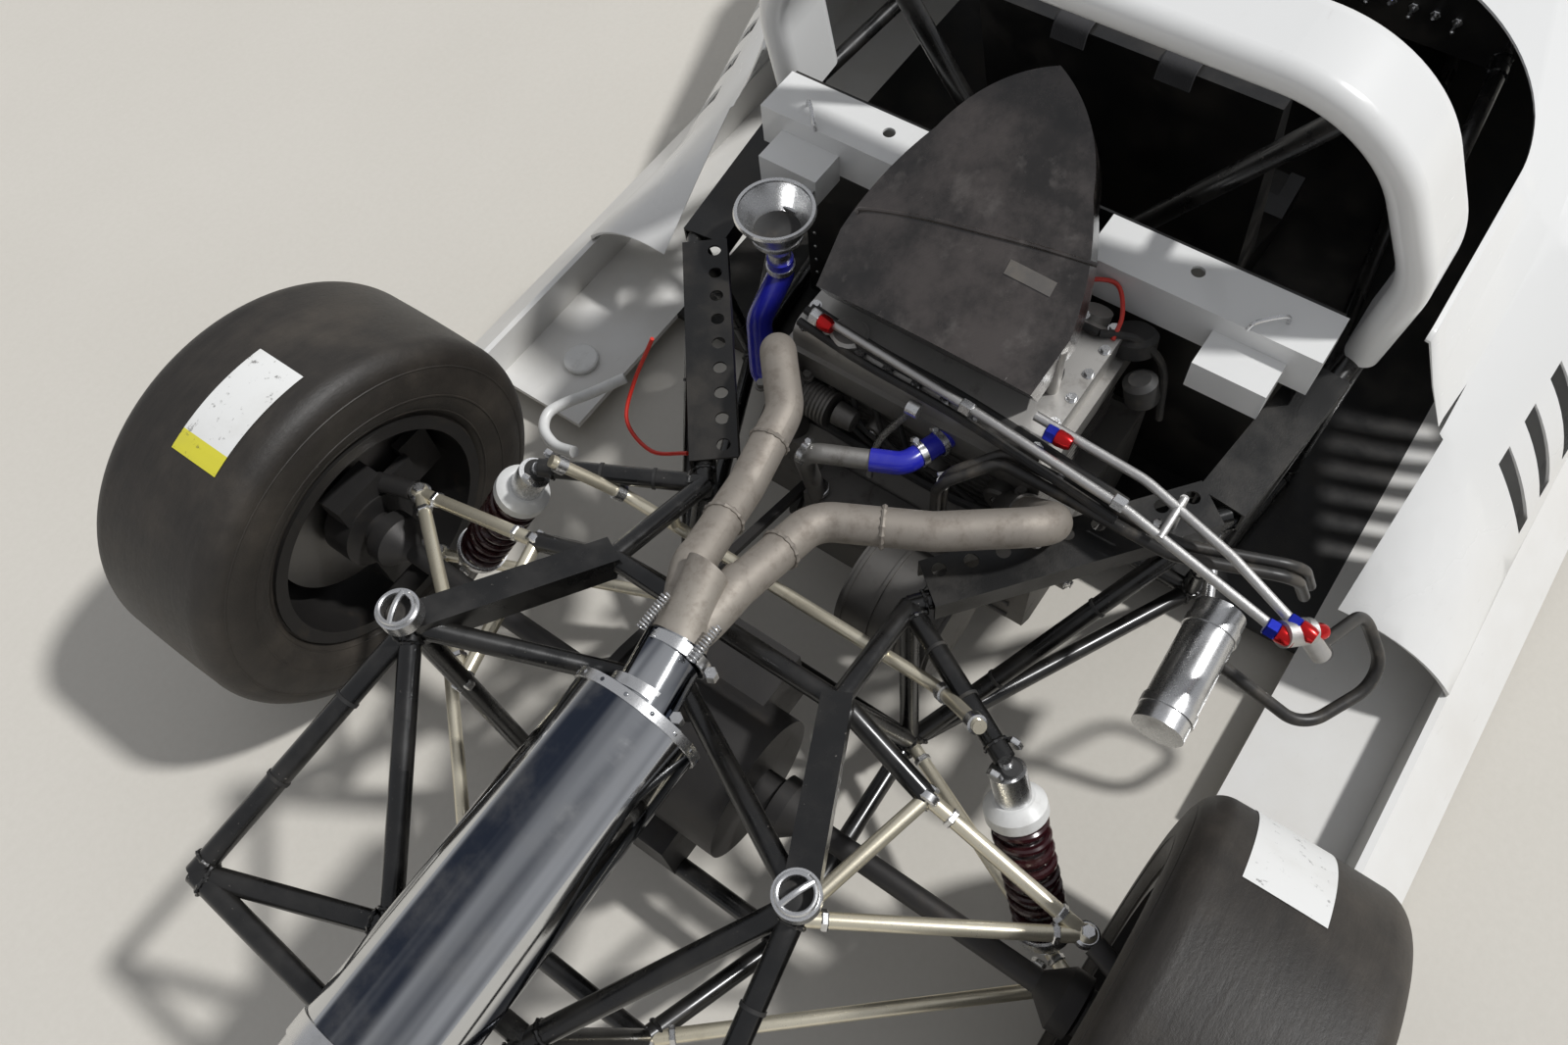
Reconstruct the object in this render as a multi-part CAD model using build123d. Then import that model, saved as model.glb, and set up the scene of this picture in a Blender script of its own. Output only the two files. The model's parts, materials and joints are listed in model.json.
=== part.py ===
from build123d import *
import math
import os

# Open sports racing car with its rear deck taken off.
# Millimetres. Places are from the rear axle: x forward, y left, z up from the ground.
# put() moves each piece so that the origin lies on the ground under the middle of the whole car.

os.makedirs("parts", exist_ok=True)

# Driving dimensions of the whole car
WHEELBASE = 2300
HALF_WIDTH = 820
NOSE_OVERHANG = 780
TAIL_OVERHANG = 600
GROUND_GAP = 40
PANEL = 4
X_NOSE = WHEELBASE + NOSE_OVERHANG
X_TAIL = -TAIL_OVERHANG
X_MIDDLE = (X_NOSE + X_TAIL) / 2

# Wheels. Their y values run outwards from the middle of the tyre: face of the rim, inner end of the hub
# and the middle of the brake disc
REAR = dict(radius=285, width=235, rim=168, rim_width=210, x=0, y=HALF_WIDTH - 179,
            face=40, hub=-86, disc=-30)
FRONT = dict(radius=265, width=190, rim=168, rim_width=168, x=WHEELBASE, y=HALF_WIDTH - 140,
             face=40, hub=-70, disc=-18)
BARREL = 9
HUB_RADIUS = 28
HUB_CLEAR = 0.5
DISC_RADIUS = 126
DISC_THICK = 18
CALIPER_GAP = 5
CALIPER_IN = 95
CALIPER_OUT = 145
CALIPER_HALF = 42
CALIPER_WALL = 14
CALIPER_BRIDGE = 7

# Floor, frame tubes and the roll hoop
FLOOR_TOP = 50
FLOOR_THICK = 10
FLOOR_REAR_X = 640
FLOOR_FRONT_X = WHEELBASE - 340
FRAME_R = 12.5
ARM_R = 9
SEATED = 0.3
TOP_Z = 420
RAIL_Z = FLOOR_TOP + FRAME_R + SEATED
HOOP_X = 890
HOOP_LEAN = 6
HOOP_TOP = 836
HOOP_FOOT = 436
HOOP_CHORD = 118
HOOP_THICK = 44
HOOP_BASE = TOP_Z + FRAME_R
BRACE_Z = 262

# Body panels
SPLIT_X = 1560
POD_REAR_X = 650
RAMP_TOP_X = 870
SILL_TOP = 120
SILL_EDGE = 60
SILL_BASE = GROUND_GAP - 10
SILL_IN = HALF_WIDTH - 78
SILL_FLAT = 10
POD_OUT = SILL_IN + 8
SILL_REAR_X = 350
TRAY_IN = 566
TRAY_REAR_X = 370
COCKPIT_HALF = HOOP_FOOT + 54
COCKPIT_FRONT = 1430
COCKPIT_ROUND = 270
ENGINE_BAY_HALF = 575
FIREWALL_X = 812
ARCH_GAP = 35

# Cooling slots: first x, pitch, number, length along x, near y and far y
POD_SLOTS = dict(first=912, pitch=58, count=6, long=25, near=POD_OUT - 95, far=POD_OUT - 15)
ARCH_SLOTS = dict(first=WHEELBASE - 95, pitch=38, count=6, long=17,
                  near=HALF_WIDTH - 220, far=HALF_WIDTH - 107)
NOSE_DUCT = dict(half=250, low=80, high=118, deep=120)

# Engine, exhaust and final drive
AXLE_Z = REAR["radius"]
CASE_REAR = 430
CASE_FRONT = 740
CASE_LEFT = 215
CASE_RIGHT = -230
CASE_LOW = 90
CASE_TOP = 300
HEAD_REAR = 466
HEAD_LOW = 402
HEAD_TOP = 440
COVER_TOP = 478
left_port = (440, 165, 400)
left_rise = (434, 165, 500)
right_port = (440, -200, 400)
right_rise = (400, -262, 498)
OUTPUT_X = 388
OUTPUT_Z = 215
OUTPUT_R = 14
PORT_R = 26
PIPE_R = 23
SPROCKET_R = 104
SMALL_SPROCKET_R = 36
CHAIN_Y = 110
CHAIN_WIDE = 12
CHAIN_TALL = 11
SILENCER_Y = -15
SILENCER_Z = 545
SILENCER_R = 73.5
SILENCER_LONG = 490
TAIL_PIPE_R = 32

# Front suspension and steering
KINGPIN_Y = FRONT["y"] - 72
STEER_ARM = 130
STEER_ARM_Y = KINGPIN_Y - 48
RACK_X = WHEELBASE + STEER_ARM
RACK_Z = 152
COLUMN_R = 9
COLUMN_TOP = (1345, 0, 500)
COLUMN_LOW = (RACK_X - 38, 0, RACK_Z + 34)


def vec(p):
    return Vector(*p)


def rod(a, b, r):
    """A round bar from one point to the other."""
    a, b = vec(a), vec(b)
    return Solid.make_cylinder(r, (b - a).length, Plane(origin=a, z_dir=b - a))


def bars(r, *runs):
    """Round bars between pairs of points, fused where they meet."""
    return Part() + [rod(a, b, r) for a, b in runs]


def bent(points, r, radii):
    """A bent tube through the points, with one bend radius for each corner."""
    path = FilletPolyline(*points, radius=radii)
    start = Plane(origin=vec(points[0]), z_dir=vec(points[1]) - vec(points[0]))
    return sweep(start * Circle(r), path=path)


def between(a, b, t):
    return tuple(p + (q - p) * t for p, q in zip(a, b))


def at_x(a, b, x):
    """The point of the line a to b that has the given x."""
    return between(a, b, (x - a[0]) / (b[0] - a[0]))


def at_z(a, b, z):
    return between(a, b, (z - a[2]) / (b[2] - a[2]))


def flip(p):
    return (p[0], -p[1], p[2])


def other_side(shape):
    return mirror(shape, about=Plane.XZ)


def both(shape):
    return Compound([*shape.solids(), *other_side(shape).solids()])


def box(x0, x1, y0, y1, z0, z1):
    return Pos((x0 + x1) / 2, (y0 + y1) / 2, (z0 + z1) / 2) * Box(x1 - x0, y1 - y0, z1 - z0)


def wheel_disc(r, wide):
    """A round plate that stands across the car, as a wheel does."""
    return Rot(90, 0, 0) * Cylinder(r, wide)


def beam(a, b, width, height):
    """A straight box beam between two points, its height upright."""
    a, b = vec(a), vec(b)
    across = Vector(0, 0, 1).cross(b - a)
    return Plane(origin=a, x_dir=across, z_dir=b - a) * extrude(Rectangle(width, height), (b - a).length)


def hoop_x(z):
    return HOOP_X - (z - HOOP_BASE) * math.tan(math.radians(HOOP_LEAN))


def put(name, shape):
    export_step(Pos(-X_MIDDLE, 0, 0) * shape, f"parts/{name}.step")


# Outer form of the body. Columns are x, half width, height of the side, height of the crown midway,
# y and z where the crown ends on the inside, y and z of the valley, half width and height of the nose edge,
# top z, bottom z
FENDER_IN = HALF_WIDTH - 336
VALLEY = HALF_WIDTH - 395
DECK = COCKPIT_HALF + 7
BODY = (
    (X_NOSE, HALF_WIDTH - 130, 130, 150, FENDER_IN, 130, VALLEY, 140, 360, 142, 165, 52),
    (WHEELBASE + 600, HALF_WIDTH - 20, 250, 320, FENDER_IN, 250, VALLEY, 222, 330, 226, 250, 52),
    (WHEELBASE + 340, HALF_WIDTH, 440, 545, FENDER_IN, 440, VALLEY, 330, 300, 340, 362, 52),
    (WHEELBASE, HALF_WIDTH, 502, 612, FENDER_IN, 502, VALLEY, 412, 300, 420, 448, 100),
    (FLOOR_FRONT_X, HALF_WIDTH, 460, 560, FENDER_IN, 460, VALLEY, 450, 320, 470, 500, SILL_EDGE),
    (SPLIT_X, POD_OUT, 300, 515, HALF_WIDTH - 290, 480, DECK - 7, 495, 400, 525, 555, SILL_TOP),
    (1150, POD_OUT, 150, 385, HALF_WIDTH - 260, 445, DECK + 25, 470, DECK, 495, 540, SILL_TOP),
    (RAMP_TOP_X, POD_OUT, 125, 248, HALF_WIDTH - 254, 350, DECK + 30, 430, DECK, 500, 540, SILL_TOP),
    (POD_REAR_X, POD_OUT, 130, 185, ENGINE_BAY_HALF, 190, DECK + 30, 190, DECK, 190, 192, SILL_TOP),
)


def body_section(row, inset, drop):
    x, outer, side, crown, inner, inner_z, valley_y, valley, nose, edge, top_z, bottom = row
    outer, inner, nose = outer - inset, inner + inset * 0.6, nose - inset * 0.3
    points = [(x, outer, bottom - drop), (x, outer, side - inset), (x, inner, inner_z - inset),
              (x, valley_y, valley - inset), (x, nose, edge - inset)]
    mirrored = [flip(p) for p in points]
    near_crown = ThreePointArc(points[1], (x, (outer + inner) / 2, crown - inset), points[2])
    far_crown = ThreePointArc(mirrored[2], (x, -(outer + inner) / 2, crown - inset), mirrored[1])
    edges = [Line(points[0], points[1]), near_crown, Line(points[2], points[3]), Line(points[3], points[4])]
    edges += [ThreePointArc(points[4], (x, 0, top_z - inset), mirrored[4])]
    edges += [Line(mirrored[4], mirrored[3]), Line(mirrored[3], mirrored[2])]
    edges += [far_crown, Line(mirrored[1], mirrored[0]), Line(mirrored[0], points[0])]
    return Face(Wire(edges))


def body_solid(rows, inset=0, drop=0):
    return Solid.make_loft([body_section(row, inset, drop).outer_wire() for row in rows], True)


def body_shell(rows, front_end, rear_end):
    """A hollow panel through the rows, open below; its ends are moved in or out by the given sizes."""
    first = (rows[0][0] + front_end, *rows[0][1:])
    last = (rows[-1][0] + rear_end, *rows[-1][1:])
    return body_solid(rows) - body_solid([first, *rows[1:-1], last], PANEL, 20)


def sill_form(inset):
    """A low box along the side with its top sloping down outwards; its ends move in with the inset too."""
    inner, outer, top, edge = SILL_IN + inset, HALF_WIDTH - inset, SILL_TOP - inset, SILL_EDGE - inset
    profile = [(inner, SILL_BASE - inset), (inner, top), (SILL_IN + SILL_FLAT, top), (outer, edge),
               (outer, SILL_BASE - inset)]
    face = make_face(Polyline(*[(SILL_REAR_X + inset, y, z) for y, z in profile], close=True))
    return extrude(face, FLOOR_FRONT_X - SILL_REAR_X - 2 * inset, dir=(1, 0, 0))


def slots(row):
    """Boxes that cut a row of cooling slots through the top of a panel, on both sides."""
    cuts = Part()
    for i in range(row["count"]):
        x = row["first"] + i * row["pitch"]
        cuts += box(x, x + row["long"], row["near"], row["far"], SILL_TOP + 30, HOOP_TOP)
        cuts += box(x, x + row["long"], -row["far"], -row["near"], SILL_TOP + 30, HOOP_TOP)
    return cuts


def nose_clip():
    rows = [row for row in BODY if row[0] >= SPLIT_X]
    shell = body_shell(rows, -PANEL, -5)
    arch = Pos(WHEELBASE, FRONT["y"] + 20, FRONT["radius"]) * wheel_disc(FRONT["radius"] + ARCH_GAP, 420)
    arch &= box(WHEELBASE - 400, WHEELBASE + 400, KINGPIN_Y - 8, HALF_WIDTH + 55,
                0, 2 * FRONT["radius"] + 15)
    shell -= arch
    shell -= other_side(arch)
    shell = shell - slots(ARCH_SLOTS) - both(sill_form(0))
    duct = NOSE_DUCT
    return shell - box(X_NOSE - duct["deep"], X_NOSE + 10, -duct["half"], duct["half"],
                       duct["low"], duct["high"])


def centre_body():
    rows = [row for row in BODY if row[0] <= SPLIT_X]
    shell = body_shell(rows, 5, -5)
    rear = RAMP_TOP_X - 14
    cockpit = Rectangle(COCKPIT_FRONT - rear, 2 * COCKPIT_HALF)
    cockpit = fillet(cockpit.vertices().sort_by(Axis.X)[-2:], COCKPIT_ROUND)
    shell -= Pos((COCKPIT_FRONT + rear) / 2, 0, 300) * extrude(cockpit, 500)
    shell -= box(POD_REAR_X - 50, RAMP_TOP_X - 10, -ENGINE_BAY_HALF, ENGINE_BAY_HALF, 0, 900)
    return shell - slots(POD_SLOTS)


put("nose_clip", nose_clip())
put("centre_body", centre_body())

# Floor, side trays, sills and the splitter under the nose
put("floor_pan", box(FLOOR_REAR_X, FLOOR_FRONT_X, -TRAY_IN, TRAY_IN, GROUND_GAP, FLOOR_TOP))
put("side_floors", both(box(TRAY_REAR_X, FLOOR_FRONT_X, TRAY_IN, SILL_IN, GROUND_GAP, FLOOR_TOP)))

put("sills", both(sill_form(0) - sill_form(PANEL)))
half = [(FLOOR_FRONT_X, VALLEY + 45), (WHEELBASE + 340, VALLEY + 45), (WHEELBASE + 370, HALF_WIDTH + 5),
        (WHEELBASE + 600, HALF_WIDTH - 15), (X_NOSE - 10, HALF_WIDTH - 120), (X_NOSE, HALF_WIDTH - 220)]
outline = [*half, *[(x, -y) for x, y in reversed(half)]]
put("splitter", Pos(0, 0, GROUND_GAP) * extrude(make_face(Polyline(*outline, close=True)), FLOOR_THICK))

# Space frame. Nodes of the left low and top rails, from the nose to the rear, then those of the tail
LOW = {"nose": (WHEELBASE + 300, 245, RAIL_Z), "scuttle": (FLOOR_FRONT_X, 300, RAIL_Z),
       "hoop": (HOOP_X + 10, HOOP_FOOT - 6, RAIL_Z), "bay": (FLOOR_REAR_X, HOOP_FOOT - 36, RAIL_Z),
       "drive": (200, 190, 118), "rear": (-112, 200, 135), "end": (-300, 140, 190)}
TOP = {"nose": (WHEELBASE + 300, 225, 290), "scuttle": (FLOOR_FRONT_X, 280, 400),
       "dash": (COCKPIT_FRONT, HOOP_FOOT - 36, TOP_Z), "hoop": (hoop_x(TOP_Z), HOOP_FOOT, TOP_Z),
       "elbow": (558, HOOP_FOOT - 36, TOP_Z), "bay": (250, 150, TOP_Z), "beam": (92, 158, 470)}
TAIL = {"cup": (-112, 256, 540), "far": (-440, 304, 450), "span": (-360, 95, 440), "end": (-455, 75, 440),
        "centre": (20, 0, 432)}
TIES = (("nose", "nose"), ("scuttle", "scuttle"), ("scuttle", "dash"), ("hoop", "hoop"), ("bay", "elbow"),
        ("bay", "hoop"), ("drive", "bay"), ("drive", "beam"), ("drive", "elbow"))
TAIL_RUNS = (("cup", "span"), ("cup", "far"), ("far", "span"), ("far", "end"), ("span", "end"),
             ("cup", "centre"))
BEAM_WIDE = 34
BEAM_TALL = 40
ENGINE_CUT = 830
REAR_CUT = 60

upper_arm_out = (59, REAR["y"] - 144, 345)
upper_arm_front = (76, 285, 402)
lower_arm_out = (40, REAR["y"] - 121, 170)
damper_top = (150, 335, 432)
cup_top = (TAIL["cup"][0], TAIL["cup"][1], TAIL["cup"][2] + 26)
arm_bracket = (TOP["beam"][0] + 8, TOP["beam"][1] + 8, TOP["beam"][2] - 30)
brace_side = (hoop_x(BRACE_Z), HOOP_FOOT, BRACE_Z)
brace_foot = (hoop_x(BRACE_Z), 0, BRACE_Z)


def space_frame():
    low, top = list(LOW.values()), list(TOP.values())
    runs = [*zip(low, low[1:]), *zip(top, top[1:])]
    runs += [(LOW[a], TOP[b]) for a, b in TIES]
    runs += [(TAIL[a], TAIL[b]) for a, b in TAIL_RUNS]
    runs += [(brace_side, brace_foot), (TOP["bay"], damper_top), (TAIL["cup"], cup_top),
             (arm_bracket, upper_arm_front), (TAIL["cup"], LOW["rear"]), (LOW["end"], TAIL["span"])]
    runs += [(flip(a), flip(b)) for a, b in runs]
    across = [LOW[n] for n in ("nose", "scuttle", "bay", "drive", "rear", "end")]
    across += [TOP["nose"], TOP["scuttle"], TOP["beam"], TAIL["span"], TAIL["end"]]
    made = bars(FRAME_R, *runs, *[(p, flip(p)) for p in across])
    made += beam(TOP["beam"], TAIL["cup"], BEAM_WIDE, BEAM_TALL)
    return made + beam(flip(TOP["beam"]), flip(TAIL["cup"]), BEAM_WIDE, BEAM_TALL)


frame = space_frame()
put("front_frame", frame & box(ENGINE_CUT, X_NOSE, -HALF_WIDTH, HALF_WIDTH, 0, HOOP_TOP))
put("engine_frame", frame & box(REAR_CUT, ENGINE_CUT, -HALF_WIDTH, HALF_WIDTH, 0, HOOP_TOP))
put("rear_frame", frame & box(X_TAIL, REAR_CUT, -HALF_WIDTH, HALF_WIDTH, 0, HOOP_TOP))

# Folded plates along the top rails beside the engine, the rear ones with a row of lightening holes
PLATE_WIDE = 62
PLATE_SHIFT = -14
PLATE_DEEP = 34
PLATE_THICK = 3
PLATE_HOLE_R = 9
PLATE_HOLE_Y = -27
PLATE_HOLES = 9


def rail_plate(a, b, holes):
    along = vec(b) - vec(a)
    middle, level = along.length / 2, FRAME_R + PLATE_THICK / 2
    form = Pos(middle, PLATE_SHIFT, level) * Box(along.length, PLATE_WIDE, PLATE_THICK)
    for edge in (1, -1):
        side_y = PLATE_SHIFT + edge * (PLATE_WIDE - PLATE_THICK) / 2
        form += Pos(middle, side_y, level - PLATE_DEEP / 2) * Box(along.length, PLATE_THICK, PLATE_DEEP)
    for i in range(holes):
        form -= Pos((i + 0.5) * along.length / holes, PLATE_HOLE_Y, level) * Cylinder(PLATE_HOLE_R, 9)
    return Plane(origin=a, x_dir=along, z_dir=(0, 0, 1)) * form


plates = rail_plate(TOP["elbow"], at_x(TOP["hoop"], TOP["elbow"], FIREWALL_X - 14), 0)
plates += rail_plate(at_x(TOP["bay"], TOP["elbow"], 270), at_x(TOP["bay"], TOP["elbow"], 545), PLATE_HOLES)
right_plates = other_side(plates) - rod(right_port, right_rise, PIPE_R + 5) - frame
put("side_plates", Compound([*(plates - frame).solids(), *right_plates.solids()]))

# Ring cups that the rear deck drops onto
CUP_OUT = 24
CUP_BORE = 17
CUP_TALL = 18
CUP_DEEP = 12
cup = Cylinder(CUP_OUT, CUP_TALL) - Pos(0, 0, (CUP_TALL - CUP_DEEP) / 2) * Cylinder(CUP_BORE, CUP_DEEP)
put("deck_cups", both(Pos(cup_top[0], cup_top[1], cup_top[2] + CUP_TALL / 2) * cup))

# Roll hoop with its V brace and forward stays
HOOP_FLARE = 14
HOOP_WAIST = 600
SHOULDER_R = 180
WAIST_R = 160
BRACE_R = 14
crown_z = HOOP_TOP - HOOP_THICK / 2
foot, waist = (0, HOOP_FOOT, HOOP_BASE), (0, HOOP_FOOT + HOOP_FLARE, HOOP_WAIST)
shoulder = (0, HOOP_FOOT - 86, crown_z)
hoop_path = FilletPolyline(foot, waist, shoulder, flip(shoulder), flip(waist), flip(foot),
                           radius=[WAIST_R, SHOULDER_R, SHOULDER_R, WAIST_R])
hoop_start = Plane(origin=foot, x_dir=(1, 0, 0), z_dir=vec(waist) - vec(foot))
hoop = sweep(hoop_start * SlotOverall(HOOP_CHORD, HOOP_THICK), path=hoop_path)
hoop = Pos(HOOP_X, 0, HOOP_BASE) * Rot(0, -HOOP_LEAN, 0) * Pos(0, 0, -HOOP_BASE) * hoop - frame
put("roll_hoop", hoop)
brace_top = (hoop_x(crown_z - 26), HOOP_FOOT - 106, crown_z - 26)
put("hoop_brace", bars(BRACE_R, (brace_foot, brace_top), (brace_foot, flip(brace_top))) - hoop - frame)
stay_top = (hoop_x(690), HOOP_FOOT - 28, 690)
put("hoop_stays", both(rod(stay_top, (1130, HOOP_FOOT - 6, TOP_Z), BRACE_R) - hoop - frame))

# Firewall, shelves beside the engine cover, dash, seat and pedals
SHELF_TOP = 520
SHELF_LOW = 455
SHELF_IN = 95
SHELF_OUT = HOOP_FOOT - 31
SHELF_REAR = 735
SHELF_HOLE = (783, 225)
BOX_REAR = 678
BOX_IN = 275
BOX_OUT = HOOP_FOOT - 66
BOX_TOP = 492
BOX_LOW = 446
PANEL_HALF = HOOP_FOOT - 36
SEAT_HALF = 215
SEAT_WALL = 25
DASH_X = COCKPIT_FRONT + 16
DASH_TOP = SHELF_TOP - 14
put("firewall", box(FIREWALL_X, FIREWALL_X + PANEL, -PANEL_HALF, PANEL_HALF, FLOOR_TOP, SHELF_TOP))
shelf = box(SHELF_REAR, FIREWALL_X, SHELF_IN, SHELF_OUT, SHELF_LOW, SHELF_TOP)
shelf += box(BOX_REAR, SHELF_REAR, BOX_IN, BOX_OUT, BOX_LOW, BOX_TOP)
shelf -= box(SHELF_REAR + PANEL, FIREWALL_X - PANEL, SHELF_IN + PANEL, SHELF_OUT - PANEL,
             0, SHELF_TOP - PANEL)
shelf -= box(BOX_REAR + PANEL, SHELF_REAR, BOX_IN + PANEL, BOX_OUT - PANEL, 0, BOX_TOP - PANEL)
shelf -= Pos(*SHELF_HOLE, SHELF_TOP) * Cylinder(9, 20)
put("shelves", both(shelf))
dash = box(DASH_X, DASH_X + 6, 8 - PANEL_HALF, PANEL_HALF - 8, HEAD_LOW, DASH_TOP)
dash -= rod(COLUMN_TOP, COLUMN_LOW, 26)
put("dash", dash - frame)


def side_profile(points, half_wide):
    """A block across the car from an outline seen from the side."""
    return Rot(90, 0, 0) * extrude(make_face(Polyline(*points, close=True)), half_wide, both=True)


seat = side_profile([(985, 610), (1015, 610), (1185, 150), (1330, 95), (1400, 130), (1400, FLOOR_TOP),
                     (1180, FLOOR_TOP), (1120, 80)], SEAT_HALF)
seat -= side_profile([(1004, 640), (1200, 152), (1330, 100), (1450, 140), (1450, 400), (1100, 640)],
                     SEAT_HALF - SEAT_WALL)
put("seat", seat)
PEDAL_X = FLOOR_FRONT_X - 80
pedals = box(PEDAL_X, PEDAL_X + 45, -120, 120, FLOOR_TOP, FLOOR_TOP + 8)
for i in (-1, 0, 1):
    pedals += rod((PEDAL_X + 22, 80 * i, FLOOR_TOP + 4), (PEDAL_X, 80 * i, 190), 7)
    pedals += Pos(PEDAL_X - 2, 80 * i, 196) * Rot(0, -9, 0) * Box(10, 52, 62)
put("pedals", pedals)

# Cover over the engine intake: a domed tombstone that rises forwards, widest near its rear edge
COVER_BASE = (500, 0, 545)
COVER_WAY = (300, 0, 165)
COVER_NORMAL = (-165, 0, 300)
COVER_HALF = 150
COVER_LONG = 342
COVER_SKIRT = 60
COVER_ROUND = 440


def cover_form(inset):
    edge = [(inset, COVER_HALF - inset), (75, COVER_HALF + 8 - inset), (228, 104 - inset),
            (COVER_LONG - inset, 0)]
    sides = [Line(edge[0], (edge[0][0], -edge[0][1]))]
    for s in (1, -1):
        a, b, c, d = [(x, s * y) for x, y in edge]
        sides += [Line(a, b), ThreePointArc(b, (160, s * (137 - inset)), c),
                  ThreePointArc(c, (305, s * (55 - inset * 0.8)), d)]
    slab = Pos(0, 0, -COVER_SKIRT - inset) * extrude(make_face(sides), 2 * COVER_SKIRT)
    crown_place = Pos(COVER_LONG / 2, 0, 20 - COVER_ROUND - inset) * Rot(0, 90, 0)
    return slab & crown_place * Cylinder(COVER_ROUND, COVER_LONG + 20)


cover_plane = Plane(origin=COVER_BASE, x_dir=COVER_WAY, z_dir=COVER_NORMAL)
put("engine_cover", cover_plane * (cover_form(0) - Pos(0, 0, -1) * cover_form(PANEL)))

# Engine across the car: crankcase, cylinders, head, covers, gearbox bulge, intake stubs and exhaust ports
COOLANT_R = 13
coolant_turn = (352, 75, 425)
coolant_joint = (388, -4, 425)
STUBS = dict(first=-139, pitch=86, count=4)


def engine_block():
    crankcase = box(CASE_REAR, CASE_FRONT, CASE_RIGHT, CASE_LEFT, CASE_LOW, CASE_TOP)
    made = chamfer(crankcase.edges().filter_by(Axis.Y), 26)
    made += box(480, 690, CASE_RIGHT + 40, CASE_LEFT - 40, CASE_TOP, HEAD_LOW)
    made += box(HEAD_REAR, 704, CASE_RIGHT + 32, CASE_LEFT - 32, HEAD_LOW, HEAD_TOP)
    cam_cover = box(474, 692, CASE_RIGHT + 44, CASE_LEFT - 44, HEAD_TOP, COVER_TOP)
    made += fillet(cam_cover.edges().filter_by(Axis.Y).sort_by(Axis.Z)[-2:], 22)
    made += box(OUTPUT_X - 20, CASE_REAR, -120, CHAIN_Y - 18, 130, CASE_TOP - 18)
    made += Pos(560, CASE_RIGHT, 195) * wheel_disc(78, 52)
    made += Pos(640, CASE_LEFT, 190) * wheel_disc(58, 46)
    made += Pos(318, -110, 255) * wheel_disc(72, 140) + box(318, 380, -170, -50, 200, 300)
    made += bent([(380, 75, CASE_TOP - 30), coolant_turn, coolant_joint], COOLANT_R, [26])
    made += box(610, 670, -150, 150, RAIL_Z + FRAME_R + SEATED, CASE_LOW)
    made += rod((OUTPUT_X, CHAIN_Y - 18, OUTPUT_Z), (OUTPUT_X, CHAIN_Y + 8, OUTPUT_Z), OUTPUT_R)
    for i in range(STUBS["count"]):
        y = STUBS["first"] + i * STUBS["pitch"]
        made += rod((684, y, 430), (706, y, 470), 20)
    for port, rise, long in ((left_port, left_rise, 110), (right_port, right_rise, 60)):
        made += rod(port, tuple(vec(port) + (vec(port) - vec(rise)).normalized() * long), PORT_R)
    post = rod((565, CASE_LEFT - 65, COVER_TOP - 18), (565, CASE_LEFT - 65, 600), 10)
    post -= cover_plane * cover_form(0)
    post &= box(500, 640, 0, CASE_LEFT, 0, 560)
    return made + post + other_side(post)


def chain_outline(grow):
    """The run of a chain round both sprockets, seen from the side, grown by the given size."""
    big, small = SPROCKET_R + grow, SMALL_SPROCKET_R + grow
    dx, dz = OUTPUT_X, OUTPUT_Z - AXLE_Z
    turn, lean = math.atan2(dz, dx), math.acos((big - small) / math.hypot(dx, dz))

    def touch(centre, r, angle):
        return (centre[0] + r * math.cos(angle), centre[1] + r * math.sin(angle))

    rear, fore = (0, AXLE_Z), (OUTPUT_X, OUTPUT_Z)
    rear_top, rear_low = touch(rear, big, turn + lean), touch(rear, big, turn - lean)
    fore_top, fore_low = touch(fore, small, turn + lean), touch(fore, small, turn - lean)
    edges = [Line(rear_top, fore_top), ThreePointArc(fore_top, touch(fore, small, turn), fore_low),
             Line(fore_low, rear_low), ThreePointArc(rear_low, touch(rear, big, turn + math.pi), rear_top)]
    return make_face(edges)


def final_drive():
    made = Pos(0, 0, AXLE_Z) * wheel_disc(95, 200)
    made += box(20, 150, -60, 60, AXLE_Z - 60, AXLE_Z + 60)
    made += box(-125, -60, -40, 40, LOW["rear"][2], AXLE_Z - 40)
    made += rod((10, 0, AXLE_Z + 80), TAIL["centre"], 14)
    chain_plane = Plane(origin=(0, CHAIN_Y + CHAIN_WIDE / 2, 0), x_dir=(1, 0, 0), z_dir=(0, -1, 0))
    made += chain_plane * extrude(chain_outline(0) - chain_outline(-CHAIN_TALL), CHAIN_WIDE)
    made += Pos(0, CHAIN_Y - 2, AXLE_Z) * wheel_disc(SPROCKET_R - CHAIN_TALL + 2, 20)
    made += Pos(OUTPUT_X, CHAIN_Y, OUTPUT_Z) * wheel_disc(SMALL_SPROCKET_R - CHAIN_TALL + 2, CHAIN_WIDE)
    made -= Pos(OUTPUT_X, CHAIN_Y, OUTPUT_Z) * wheel_disc(OUTPUT_R, 40)
    return made - Pos(0, 0, AXLE_Z) * wheel_disc(HUB_RADIUS + HUB_CLEAR, 400) - frame


engine = engine_block()
put("engine", engine)
put("final_drive", final_drive())

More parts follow.
